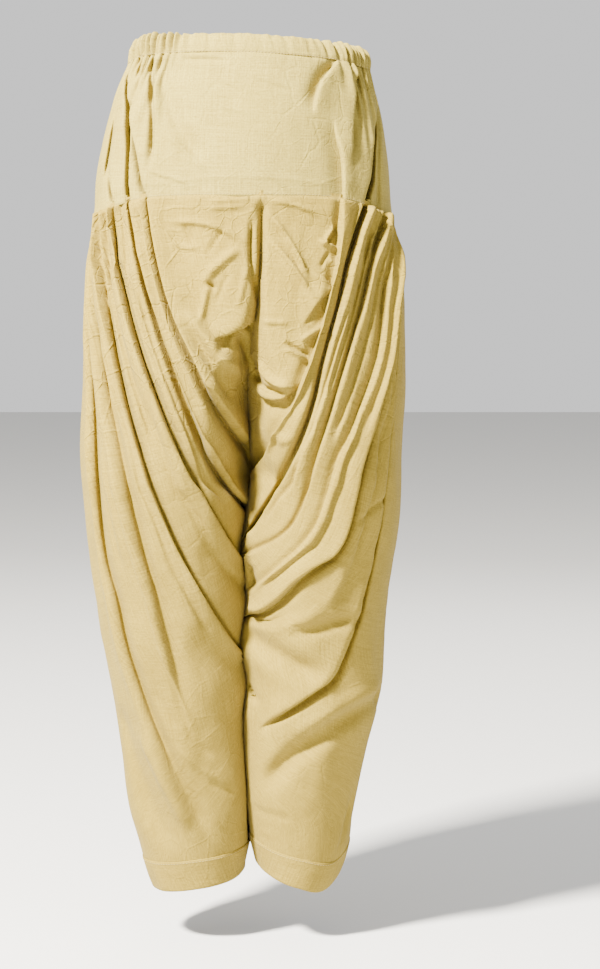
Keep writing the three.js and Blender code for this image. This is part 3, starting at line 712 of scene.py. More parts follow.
def risen(rise, out, straightIn, angle):
    # edges stand out square to the form; hollows run straight in, so that they show from behind too
    straight, calm, within = foldShape["straight"]
    inwards = unit(mix(-out, straightIn, awayFromSides(angle, calm, within)[..., None] * straight))
    # near the sides the edges stay low, so that the outline keeps its width
    low, outerReach, innerReach = foldShape["lowEdges"]
    edgeShare = mix(low, 1, smoothShare((angle - 5) / outerReach) * smoothShare((177 - angle) / innerReach))
    raised = np.maximum(rise, 0) * edgeShare
    return out * raised[..., None] - inwards * np.minimum(rise, 0)[..., None]


def legFace(leg, face):
    # one face of a leg, columns in order round the leg: plain form, rise, lean across and up, calm, angle
    above, below, atHem = legCloth["rowsAbove"], legCloth["rowsBelow"], legCloth["rowsAtHem"]
    falling, pleats, creases = (
        onFace(face, anglePaths(leg, table[leg])) for table in (fallingFolds, smallPleats, legCreases))
    between = betweenFolds(leg, falling)
    crotch, hemRows, bandHeight = cut["crotchHeight"], cut["hemRowsHeight"], cut["hemBandHeight"]
    share = np.concatenate([np.arange(above) / above, np.ones(below + atHem + 1)])
    levels = mix(beltSeam(90) + legCloth["tuckAbove"], crotch, share)
    levels[above:above + below] = mix(crotch, hemRows, np.arange(below) / below)
    foot = hemHeight(leg, face, 90) + bandHeight - legCloth["tuckBelow"]
    levels[above + below:] = mix(hemRows, foot, np.arange(atHem + 1) / atHem)
    end = endAngle(leg, levels, face)
    steps = legCloth["steps"][face]
    angle = foldColumns(falling, steps, end, levels, legCloth["leastGap"], legCloth["gather"])
    evenShare, evenFrom, evenOver = legCloth["evenHem"]
    spread = evenShare * smoothShare((evenFrom - levels) / evenOver)[:, None]
    even = end[:, None] * np.linspace(0, 1, angle.shape[1])
    angle = mix(angle, even, spread)

    z = np.repeat(levels[:, None], angle.shape[1], axis=1)
    topHere = beltSeam(angle[:above]) + legCloth["tuckAbove"]
    z[:above] = mix(topHere, crotch, share[:above, None])
    footHere = hemHeight(leg, face, angle[above + below:]) + bandHeight - legCloth["tuckBelow"]
    z[above + below:] = mix(hemRows, footHere, (np.arange(atHem + 1) / atHem)[:, None])

    _, halfWidth, _, halfDepth = legSection(leg, z)
    reach = lengthOfDegree(halfWidth, halfDepth, angle)
    large = [evened(part, 2) for part in foldField(falling + between, angle, z, reach)]
    small = foldField(pleats + creases, angle, z, reach)
    rise, leanAcross, leanUp = (a + b for a, b in zip(large, small))
    x, y, calm = legForm(leg, face, angle, z)
    hemCalm = smoothShare((z - hemHeight(leg, face, angle) - bandHeight) / foldShape["hemCalm"])
    down = beltSeam(angle) - z
    seam = smoothShare((down + 2.5) / 4)
    rise = rise * hemCalm * calm * seam
    puff = np.exp(-((np.maximum(down, 0) / legCloth["seamPuffReach"]) ** 2))
    rise += legCloth["seamPuff"] * seam * puff * calm
    rise -= 1 - seam  # the tucked edge lies 1 mm in
    calm = calm * hemCalm * seam
    if face == "front":
        leanAcross = -leanAcross  # the columns run the other way on the front
    order = slice(None, None, -1) if face == "back" else slice(1, None)
    grids = (np.stack([x, y, z], axis=-1), rise, leanAcross * calm, leanUp * calm, calm, angle)
    return [grid[:, order] for grid in grids]


def legSurface(leg):
    above = legCloth["rowsAbove"]
    back, front = legFace(leg, "back"), legFace(leg, "front")
    columns = back[0].shape[1]
    place, rise, leanAcross, leanUp, calm, angle = (
        np.concatenate(pair, axis=1) for pair in zip(back, front))

    # the form turns softly where the legs part
    easeReach, easeRounds = legCloth["crotchEase"]
    parting = np.exp(-(((place[..., 2] - cut["crotchHeight"]) / easeReach) ** 2))[..., None]
    place = mix(place, evened(place, easeRounds), parting)

    # directions along the columns' order and up, and outwards
    along = unit(np.gradient(place, axis=1))
    along[above:, 0] = along[above:, -1] = unit(place[above:, 1] - place[above:, -2])
    up = unit(-np.gradient(place, axis=0))
    out = unit(np.cross(along, up))
    if sideOf[leg] < 0:
        out = -out
    for across, length, height in legCloth["wrinkles"]:
        rise = rise + height * calm * unevenness(place, across, length, legCloth["seeds"][leg])
    towardsCentre = -along  # the back columns run from the centre seam outwards
    straightIn = np.zeros(place.shape)
    straightIn[:, :columns, 1], straightIn[:, columns:, 1] = 1, -1
    moved = place + risen(rise, out, straightIn, angle)
    moved = moved + towardsCentre * leanAcross[..., None] + up * leanUp[..., None]
    side = sideOf[leg]
    for part, face in ((slice(None, columns), "back"), (slice(columns, None), "front")):
        limit = innerLimit(leg, face, moved[:, part, 1], moved[:, part, 2])
        moved[:, part, 0] = side * np.maximum(side * moved[:, part, 0], limit)
    for face, c in (("back", 0), ("front", -1)):
        moved[:above, c, 0] = meetingX(moved[:above, c, 2], face) + side * cut["seamGap"] / 2
    moved[above:, -1] = moved[above:, 0]
    return place, moved, above


def clothUv(place):
    # millimetres along the rows from their middle and up the cloth, so that the weave keeps its scale
    step = np.linalg.norm(np.diff(place, axis=1), axis=-1)
    u = np.concatenate([np.zeros((len(place), 1)), np.cumsum(step, axis=1)], axis=1)
    middle = place.shape[1] // 2
    u = u - u[:, middle:middle + 1]
    rise = np.linalg.norm(np.diff(place, axis=0), axis=-1)
    v = -np.concatenate([np.zeros((1, place.shape[1])), np.cumsum(rise, axis=0)], axis=0)
    return np.stack([u, v], axis=-1)


def smoothMesh(name, points, faces):
    # points in millimetres
    mesh = bpy.data.meshes.new(name)
    mesh.from_pydata((points * 0.001).tolist(), [], faces)
    mesh.polygons.foreach_set("use_smooth", np.ones(len(mesh.polygons), dtype=bool))
    mesh.update()
    return mesh


def clothMesh(name, points, uv, flip=False, joinedFrom=None, left=None):
    # grid of points, rows down; from joinedFrom on the last column is the first; left: quads that stay open
    rows, columns = points.shape[:2]
    number = np.arange(rows * columns).reshape(rows, columns)
    if joinedFrom is not None:
        number[joinedFrom:, -1] = number[joinedFrom:, 0]
    quads = np.stack([number[:-1, :-1], number[1:, :-1], number[1:, 1:], number[:-1, 1:]], axis=-1)
    corners = np.arange(rows * columns).reshape(rows, columns)
    uvQuads = np.stack([corners[:-1, :-1], corners[1:, :-1], corners[1:, 1:], corners[:-1, 1:]], axis=-1)
    keep = np.ones(quads.shape[:2], bool) if left is None else ~left
    quads, uvQuads = quads[keep], uvQuads[keep]
    if flip:
        quads, uvQuads = quads[:, ::-1], uvQuads[:, ::-1]
    used, placed = np.unique(quads, return_inverse=True)
    mesh = smoothMesh(name, points.reshape(-1, 3)[used], placed.reshape(quads.shape).tolist())
    layer = mesh.uv_layers.new(name="cloth")
    layer.data.foreach_set("uv", (uv.reshape(-1, 2)[uvQuads] * 0.001).astype(np.float32).ravel())
    mesh.validate()
    return linked(name, mesh)


legPieces = {}
for leg in ("left", "right"):
    plain, shaped, joinedFrom = legSurface(leg)
    uv = clothUv(plain)
    legPieces[leg] = clothMesh(leg + "LegCloth", shaped, uv, flip=sideOf[leg] < 0, joinedFrom=joinedFrom)
    print(leg, "leg cloth shaped,", len(legPieces[leg].data.polygons), "faces")


# Gathers drawn together in the casing: where they are round the waist, in degrees from the left side,
# how wide and how deep, in millimetres, and how far they run down the belt.
tuckShape = {
    "spread": 60,  # mm down the belt, after which a tuck is twice as wide
    "steep": 2.4,
    "swell": (0.45, 1.25, 2),  # share of the depth the cloth swells beside it, how far off, and how steep
}
gatherTucks = {
    "back": [
        (4, 5, 1.6, 30), (12, 5, 2.4, 45), (19.5, 2.8, 5.0, 18), (26.5, 2.6, 6.0, 20), (31, 3, 2.0, 24),
        (35.5, 3, 5.4, 80), (39.5, 2, 3.8, 40), (46, 3.2, 4.6, 70), (51, 2.6, 2.6, 30), (55, 4, 1.2, 20),
        (61, 5, 0.7, 14), (72, 6, 0.5, 12), (84, 7, 0.5, 10), (97, 7, 0.35, 9), (110, 6, 0.4, 10),
        (122, 5, 0.5, 12), (132, 4, 0.9, 18), (139, 4, 1.8, 26), (145.5, 2.8, 4.6, 60),
        (150.5, 2.4, 4.6, 70), (157.5, 3, 4.4, 60), (162, 3, 1.8, 30), (168, 3.6, 3.6, 50),
        (174, 5, 1.8, 34), (178, 4, 1.4, 24),
    ],
    "front": [
        (3, 4, 1.4, 26), (10, 5, 2.2, 42), (18, 5, 1.8, 30), (27, 4, 2.6, 55), (34, 4, 2.2, 34),
        (42, 4, 2.6, 70), (49, 3.5, 2.0, 32), (57, 4, 1.8, 40), (65, 4, 1.5, 26), (73, 4, 1.9, 36),
        (80, 4, 1.4, 22), (99, 4, 1.5, 24), (106, 4, 1.9, 38), (114, 4, 1.4, 22), (122, 4, 1.8, 42),
        (131, 3.5, 2.0, 30), (138, 4, 2.5, 64), (146, 4, 2.2, 36), (153, 4, 2.6, 58), (162, 5, 1.8, 30),
        (170, 5, 2.2, 44), (177, 4, 1.4, 24),
    ],
}


def ringSizes(z):
    left, right = smoothLookUp(outline, z, "left"), smoothLookUp(outline, z, "right")
    back, front = smoothLookUp(outline, z, "back"), smoothLookUp(outline, z, "front")
    return (left + right) / 2, (right - left) / 2, (back + front) / 2, (front - back) / 2


def ringForm(face, around, z):
    # plain form of the belt and casing, and the direction outwards
    turn = -1 if face == "back" else 1
    middle, halfWidth, centreY, halfDepth = ringSizes(z)
    c, n = -np.cos(np.radians(around)), turn * np.sin(np.radians(around))
    out = unit(np.stack([c / halfWidth, n / halfDepth, np.zeros_like(c)], axis=-1))
    return np.stack([middle + halfWidth * c, centreY + halfDepth * n, z], axis=-1), out


def waistHeight(face, around):
    return smoothLookUp(waistEdge, around if face == "back" else 360 - around, "z")


def tuckRise(face, around, down, reach):
    # uneven folds under each tuck, dying out downwards; between two tucks the cloth swells
    rise = np.zeros(around.shape)
    swell, swellAt, swellSteep = tuckShape["swell"]
    for at, width, depth, length in gatherTucks[face]:
        across = (around - at) * reach
        spread = width * (1 + np.maximum(down, 0) / tuckShape["spread"])
        fade = depth * np.exp(-((np.maximum(down, 0) / length) ** 1.5))
        rise -= fade * np.exp(-((across / spread) ** 2) * tuckShape["steep"])
        for side in (-1, 1):
            beside = (across - side * spread * swellAt) / spread
            rise += swell * fade * np.exp(-(beside**2) * swellSteep)
    return rise


beltCloth = {
    "columns": 280,
    "rows": 84,
    "gather": (0.6, 4.5),  # how much the columns draw together beside a fold, and within how many degrees
    "overlap": 1.5,  # mm behind the casing's edge
    "sideDip": (1.2, 1.5),  # mm the cloth sinks at the side seams, and within how many degrees
    "edgeRise": (0.25, 5),  # mm of swelling at the lower edge, and how far up
    "topDip": (0.9, 2.2),  # mm the cloth sinks under the casing, and how far down
    "turnedUp": 9,  # mm of seam turned up inside
    "wrinkles": [(70, 60, 1.6), (18, 34, 0.5), (7, 8, 0.12)],
    "seeds": {"back": 5.1, "front": 7.9},
}


def roundPaths(face):
    made = []
    for i, fold in enumerate(beltCreases):
        points = np.array(fold["path"], float)
        middle, halfWidth, _, _ = ringSizes(points[:, 1])
        angles = np.degrees(np.arccos(np.clip(-(points[:, 0] - middle) / halfWidth, -1, 1)))
        depth = fold["depth"]
        if face == "front":
            angles = angles + frontShift[i % len(frontShift)]
            depth *= frontBeltShare
        made.append({**fold, "depth": depth, "path": rounded(np.column_stack([angles, points[:, 1]]))})
    return made


def beltColumns(folds, levels):
    # evenly round the half, drawn together beside the folds' lines
    even = np.linspace(0, 180, beltCloth["columns"] + 1)
    rounds = np.repeat(even[None, :], len(levels), axis=0)
    for fold in folds:
        if fold["kind"] != "pressed":
            continue
        at = angleAt(fold["path"], levels)[:, None]
        gap = rounds - at
        share, reach = beltCloth["gather"]
        rounds = rounds - share * gap * np.exp(-((gap / reach) ** 2))
    rounds[:, 0], rounds[:, -1] = 0, 180
    return rounds


def beltSurface(face):
    folds = roundPaths(face)
    rows = beltCloth["rows"]
    share = np.arange(rows + 1) / rows
    top = waistHeight(face, np.array(90.0)) - cut["casingHeight"]
    around = beltColumns(folds, mix(top, cut["beltSeamHeight"], share))
    topHere = waistHeight(face, around) - cut["casingHeight"] + beltCloth["overlap"]
    z = mix(topHere, beltSeam(around), share[:, None])
    place, out = ringForm(face, around, z)
    _, halfWidth, _, halfDepth = ringSizes(z)
    reach = lengthOfDegree(halfWidth, halfDepth, around)
    rise, leanAcross, leanUp = foldField(folds, around, z, reach)
    down = topHere - z
    up = z - beltSeam(around)
    calm = (0.6 + 0.4 * smoothShare(up / 20)) * (0.35 + 0.65 * smoothShare(down / 12))
    rise = rise * calm + tuckRise(face, around, down, reach) * smoothShare(up / 30)
    quiet = smoothShare(up / 25)
    for across, length, height in beltCloth["wrinkles"]:
        rise = rise + height * quiet * unevenness(place, across, length, beltCloth["seeds"][face])
    edgeRise, edgeReach = beltCloth["edgeRise"]
    topDip, topReach = beltCloth["topDip"]
    sideDip, sideReach = beltCloth["sideDip"]
    rise = rise + edgeRise * np.exp(-((up / edgeReach) ** 2)) - topDip * np.exp(-((down / topReach) ** 2))
    rise = rise - sideDip * (1 - awayFromSides(around, 0, sideReach))
    turn = np.radians(around)
    outwardY = -1 if face == "back" else 1
    acrossWay, depthWay = np.sin(turn) * halfWidth, outwardY * np.cos(turn) * halfDepth
    along = unit(np.stack([acrossWay, depthWay, np.zeros_like(z)], axis=-1))
    straightIn = np.zeros(place.shape)
    straightIn[..., 1] = -outwardY
    moved = place + risen(rise, out, straightIn, around) + along * (leanAcross * calm)[..., None]
    moved[..., 2] += leanUp * calm
    # the lower edge is turned in and up
    edge, inwards = moved[-1], -out[-1]
    turned = [edge + inwards * 0.8 + (0, 0, -0.5), edge + inwards * 1.8 + (0, 0, 0.3),
              edge + inwards * 2.2 + (0, 0, beltCloth["turnedUp"])]
    moved = np.concatenate([moved, np.array(turned)])
    place = np.concatenate([place] + [place[-1:] + (0, 0, -further) for further in (1, 2, 10)])
    return place, moved


beltPieces = {}
for face in ("back", "front"):
    plain, shaped = beltSurface(face)
    beltPieces[face] = clothMesh(face + "Belt", shaped, clothUv(plain), flip=face == "front")
    print(face, "belt shaped,", len(beltPieces[face].data.polygons), "faces")


casing = {
    "columns": 420,
    # mm out from the form and up from the casing's foot, up the outside and down the inside
    "section": [
        (-0.7, 0.6), (0.0, 1.6), (0.4, 4.5), (0.8, 8), (1.1, 11.5), (1.0, 15), (0.6, 18.2), (-0.2, 20.6),
        (-1.6, 22.0), (-3.4, 22.2), (-5.0, 21.0), (-6.1, 18.4), (-6.6, 14.5), (-6.6, 10), (-6.0, 5.8),
        (-4.6, 2.4), (-2.6, 0.8), (-1.2, 0.2),
    ],
    "outlet": (4.5, 5.5, 16.5),  # half width, from and to up from the foot
    "outletCorner": 2.2,
    "gathers": (2.2, 1.2),  # how much stronger than on the belt, outwards and upwards
    "ruffle": (0.77, 0.8),  # mm, outwards and upwards
    "ruffleSize": (4.2, 30),  # how closely the ruffles follow each other round the waist and upwards
    "inner": (-3, 0.55),  # from how far in the inner cloth starts, and its share of the ruffles
    "seeds": {"back": 2.3, "front": 6.6},
    "sideDip": (0.9, 1.2),  # mm the cloth sinks at the sides, and within how many degrees
}


def casingSurface(face):
    section = np.array(casing["section"])
    count = casing["columns"] + 1
    around = np.repeat(np.linspace(0, 180, count)[None, :], len(section), axis=0)
    standOff, up = section[:, :1], section[:, 1:]
    top = waistHeight(face, around)
    z = top - cut["casingHeight"] + up
    place, out = ringForm(face, around, z)
    _, halfWidth, _, halfDepth = ringSizes(z)
    reach = lengthOfDegree(halfWidth, halfDepth, around)
    gathered = tuckRise(face, around, np.zeros_like(z), reach)
    fine = np.stack([around * 2, up + 0 * z, 0 * z], axis=-1)
    fine = unevenness(fine, *casing["ruffleSize"], casing["seeds"][face])
    # the ruffles are widest a little below the top edge
    share = 0.2 + 0.8 * np.sin(np.clip(up / cut["casingHeight"], 0, 1) * math.pi * 0.62)
    innerFrom, innerShare = casing["inner"]
    outer = np.where(standOff > innerFrom, 1.0, innerShare)
    (gatherOut, gatherUp), (ruffleOut, ruffleUp) = casing["gathers"], casing["ruffle"]
    sideDip, sideReach = casing["sideDip"]
    rise = standOff + (gathered * gatherOut + fine * ruffleOut) * share * outer
    rise = rise - sideDip * (1 - awayFromSides(around, 0, sideReach))
    lift = (gathered * gatherUp + fine * ruffleUp) * smoothShare(up / cut["casingHeight"]) ** 2
    moved = place + out * rise[..., None]
    moved[..., 2] += lift
    left = None
    if face == "front":
        half, low, high = casing["outlet"]
        middle = (moved[:-1, :-1] + moved[1:, 1:]) / 2
        heights = (up[:-1] + up[1:]) / 2 + 0 * middle[..., 0]
        outerCloth = np.broadcast_to(standOff[:-1] > -1, heights.shape)
        left = (np.abs(middle[..., 0]) < half) & (heights > low) & (heights < high) & outerCloth
    return place, moved, left


casingPieces = {}
for face in ("back", "front"):
    plain, shaped, left = casingSurface(face)
    # up the outside and down the inside of the fold
    walked = np.cumsum(np.linalg.norm(np.diff(np.array(casing["section"]), axis=0), axis=1))
    uv = clothUv(plain)
    uv[..., 1] = np.concatenate([[0], walked])[:, None]
    casingPieces[face] = clothMesh(face + "Casing", shaped, uv, flip=face == "back", left=left)
    print(face, "casing shaped")


cuff = {
    "columns": 150,
    "outerRows": 14,
    "innerRows": 7,
    "standOff": (0.9, 0.1),  # mm out from the leg, and at the band's upper edge
    "wrinkle": (22, 30, 0.9),  # mm across, mm along, mm high
    "seeds": {"left": 4.4, "right": 8.8},
}


def cuffSurface(leg):
    even = np.linspace(0, 180, cuff["columns"] + 1)
    band, (standOut, edgeOut) = cut["hemBandHeight"], cuff["standOff"]
    # down the outside, round the hem and up the inside
    heights = [(standOut, share * band) for share in np.linspace(1, 0.03, cuff["outerRows"])]
    heights = [(edgeOut, band + 0.4)] + heights + [(0.5, 0.1), (0.0, -0.1), (-0.5, 0.1)]
    heights += [(-standOut, share * band) for share in np.linspace(0.03, 0.98, cuff["innerRows"])]
    rows = []
    for face in ("back", "front"):
        angle = even[::-1] if face == "back" else even[1:]
        foot = hemHeight(leg, face, angle)
        grid = []
        for standOff, up in heights:
            z = foot + up
            x, y, _ = legForm(leg, face, angle, z)
            grid.append((np.stack([x, y, z], axis=-1), np.full_like(z, standOff)))
        rows.append(grid)
    place = np.array([np.concatenate([b[0], f[0]]) for b, f in zip(*rows)])
    rise = np.array([np.concatenate([b[1], f[1]]) for b, f in zip(*rows)])
    along = np.gradient(place, axis=1)
    along[:, 0] = along[:, -1] = place[:, 1] - place[:, -2]
    out = unit(np.cross(unit(along), (0, 0, 1.0)))
    if sideOf[leg] < 0:
        out = -out
    across, length, height = cuff["wrinkle"]
    rise = rise + height * unevenness(place, across, length, cuff["seeds"][leg])
    moved = place + out * rise[..., None]
    moved[:, -1] = moved[:, 0]
    return place, moved


cuffPieces = {}
for leg in ("left", "right"):
    plain, shaped = cuffSurface(leg)
    cuffPieces[leg] = clothMesh(leg + "Cuff", shaped, clothUv(plain), flip=sideOf[leg] < 0, joinedFrom=0)
    print(leg, "cuff shaped")


# Sewing thread as short rounded stitches, all of a row in one mesh. Sizes in millimetres.
def threadMesh(name, starts, ends, outwards, radius, arch):
    # rings along a stitch: where, how wide, how far up its arch
    rings = ((0.0, 0.35, 0.0), (0.16, 0.9, 0.7), (0.5, 1.0, 1.0), (0.84, 0.9, 0.7), (1.0, 0.35, 0.0))
    sides, count = 6, len(starts)
    along = unit(ends - starts)
    across = unit(np.cross(along, outwards))
    points = np.zeros((count, len(rings), sides, 3))
    for i, (share, width, lift) in enumerate(rings):
        middle = mix(starts, ends, share) + outwards * arch * lift
        for j in range(sides):
            turn = 2 * math.pi * j / sides
            points[:, i, j] = middle + radius * width * (across * math.cos(turn) + outwards * math.sin(turn))
    number = np.arange(points[..., 0].size).reshape(points.shape[:3])
    walls = []
    for i in range(len(rings) - 1):
        for j in range(sides):
            k = (j + 1) % sides
            wall = [number[:, i, j], number[:, i + 1, j], number[:, i + 1, k], number[:, i, k]]
            walls.append(np.stack(wall, axis=-1))
    caps = [number[:, 0, :], number[:, -1, ::-1]]
    faces = np.concatenate(walls).tolist() + np.concatenate(caps).tolist()
    return linked(name, smoothMesh(name, points.reshape(-1, 3), faces))


stitching = {
    "casing": dict(length=2.9, gap=0.8, radius=0.26, arch=0.22),
    "belt": dict(length=2.6, gap=0.9, radius=0.24, arch=0.2, fromEdge=2.2),
    "cuff": dict(length=2.9, gap=0.9, radius=0.26, arch=0.22, fromEdge=2.4),
    "buttonhole": dict(pitch=0.6, radius=0.32, arch=0.35, inside=0.5, outside=2.0, proud=0.15),
}


def stitchesAlong(path, outwards, length, gap, **_):
    # starts, ends and outward directions of the stitches along a line on the cloth
    walked = np.concatenate([[0], np.cumsum(np.linalg.norm(np.diff(path, axis=0), axis=-1))])
    first = np.arange(gap, walked[-1] - length, length + gap)
    found = []
    for line, where in ((path, first), (path, first + length), (outwards, first + length / 2)):
        found.append(np.stack([np.interp(where, walked, line[:, i]) for i in range(3)], axis=-1))
    starts, ends, way = found
    return starts, ends, unit(way)


def surfaceLine(points, level):
    # line on a grid of points at a height over each column's foot
    line = []
    for c in range(points.shape[1]):
        column = points[:, c]
        line.append([np.interp(-level[c], -column[:, 2], column[:, i]) for i in range(3)])
    return np.array(line)


def outwardOf(line, middle):
    # directions away from the middle of the body or leg, square to the line
    along = unit(np.gradient(line, axis=0))
    out = unit(np.cross(along, (0, 0, 1.0)))
    away = np.sign(((line - middle)[:, :2] * out[:, :2]).sum(axis=-1, keepdims=True))
    return out * away


def stitchPiece(name, rows, style):
    parts = [stitchesAlong(path, outwards, **style) for path, outwards in rows]
    starts, ends, outs = [np.concatenate(group) for group in zip(*parts)]
    return threadMesh(name, starts, ends, outs, style["radius"], style["arch"])


def casingStitchRows():
    lines = [casingSurface(face)[1][1] for face in ("back", "front")]
    return [(line, outwardOf(line, np.zeros(3))) for line in lines]


def beltStitchRows():
    rows = []
    for face in ("back", "front"):
        outer = beltSurface(face)[1][:beltCloth["rows"] + 1]
        line = surfaceLine(outer[-8:], outer[-1, :, 2] + stitching["belt"]["fromEdge"])
        rows.append((line, outwardOf(line, np.zeros(3))))
    return rows


def cuffStitchRows():
    rows = []
    for leg in ("left", "right"):
        points = cuffSurface(leg)[1][1:cuff["outerRows"] + 1]
        line = surfaceLine(points, points[0, :, 2] - stitching["cuff"]["fromEdge"])
        rows.append((line, outwardOf(line, line.mean(axis=0))))
    return rows


def buttonholeStitches():
    # short stitches side by side over the edge of the drawstring's outlet
    _, points, _ = casingSurface("front")
    half, low, high = casing["outlet"]
    style = stitching["buttonhole"]
    section = np.array(casing["section"])
    outerRows = np.arange(1, 8)
    middleRow = 4
    corner, height = casing["outletCorner"], (high - low) / 2
    edgePoints = []
    for wayX, wayZ, first in ((1, 1, 0), (-1, 1, 90), (-1, -1, 180), (1, -1, 270)):
        cx, cz = wayX * (half - corner), wayZ * (height - corner)
        for turn in range(0, 91, 15):
            outX, outZ = math.cos(math.radians(first + turn)), math.sin(math.radians(first + turn))
            edgePoints.append((cx + corner * outX, cz + corner * outZ, outX, outZ))
    edgePoints.append(edgePoints[0])
    ring = np.array(edgePoints)
    walked = np.concatenate([[0], np.cumsum(np.hypot(*np.diff(ring[:, :2], axis=0).T))])
    stitches = []
    for where in np.arange(0, walked[-1], style["pitch"]):
        x, z, outX, outZ = [np.interp(where, walked, ring[:, i]) for i in range(4)]
        reached = []
        for reach in (-style["inside"], style["outside"]):
            px, up = x + outX * reach, (low + high) / 2 + z + outZ * reach
            column = int(np.argmin(np.abs(points[middleRow, :, 0] - px)))
            y = np.interp(up, section[outerRows, 1], points[outerRows, column, 1])
            foot = points[0, column, 2] - section[0, 1]
            reached.append((px, y + style["proud"], foot + up))
        stitches.append(reached + [(0, 1, 0)])
    starts, ends, outs = np.moveaxis(np.array(stitches, float), 1, 0)
    return threadMesh("outletStitches", starts, ends, outs, style["radius"], style["arch"])


threadPieces = {
    "casing": stitchPiece("casingStitches", casingStitchRows(), stitching["casing"]),
    "belt": stitchPiece("beltStitches", beltStitchRows(), stitching["belt"]),
    "cuff": stitchPiece("cuffStitches", cuffStitchRows(), stitching["cuff"]),
    "outlet": buttonholeStitches(),
}
print("stitches placed")


def linear(colour):
    # "#rrggbb" as linear red, green, blue and 1
    values = [int(colour[i:i + 2], 16) / 255 for i in (1, 3, 5)]
    return tuple(v / 12.92 if v <= 0.04045 else ((v + 0.055) / 1.055) ** 2.4 for v in values) + (1.0,)


def addNode(tree, kind, inputs=None, out=0, **settings):
    # a node with its settings; inputs are values or other nodes' outputs, and one output is given back
    node = tree.nodes.new("ShaderNode" + kind)
    for name, value in settings.items():
        setattr(node, name, value)
    for socket, value in (inputs or {}).items():
        if isinstance(value, bpy.types.NodeSocket):
            tree.links.new(value, node.inputs[socket])
        else:
            node.inputs[socket].default_value = value
    return node.outputs[out] if len(node.outputs) else None


def emptyMaterial(name):
    material = bpy.data.materials.new(name)
    material.use_nodes = True
    material.node_tree.nodes.clear()
    return material


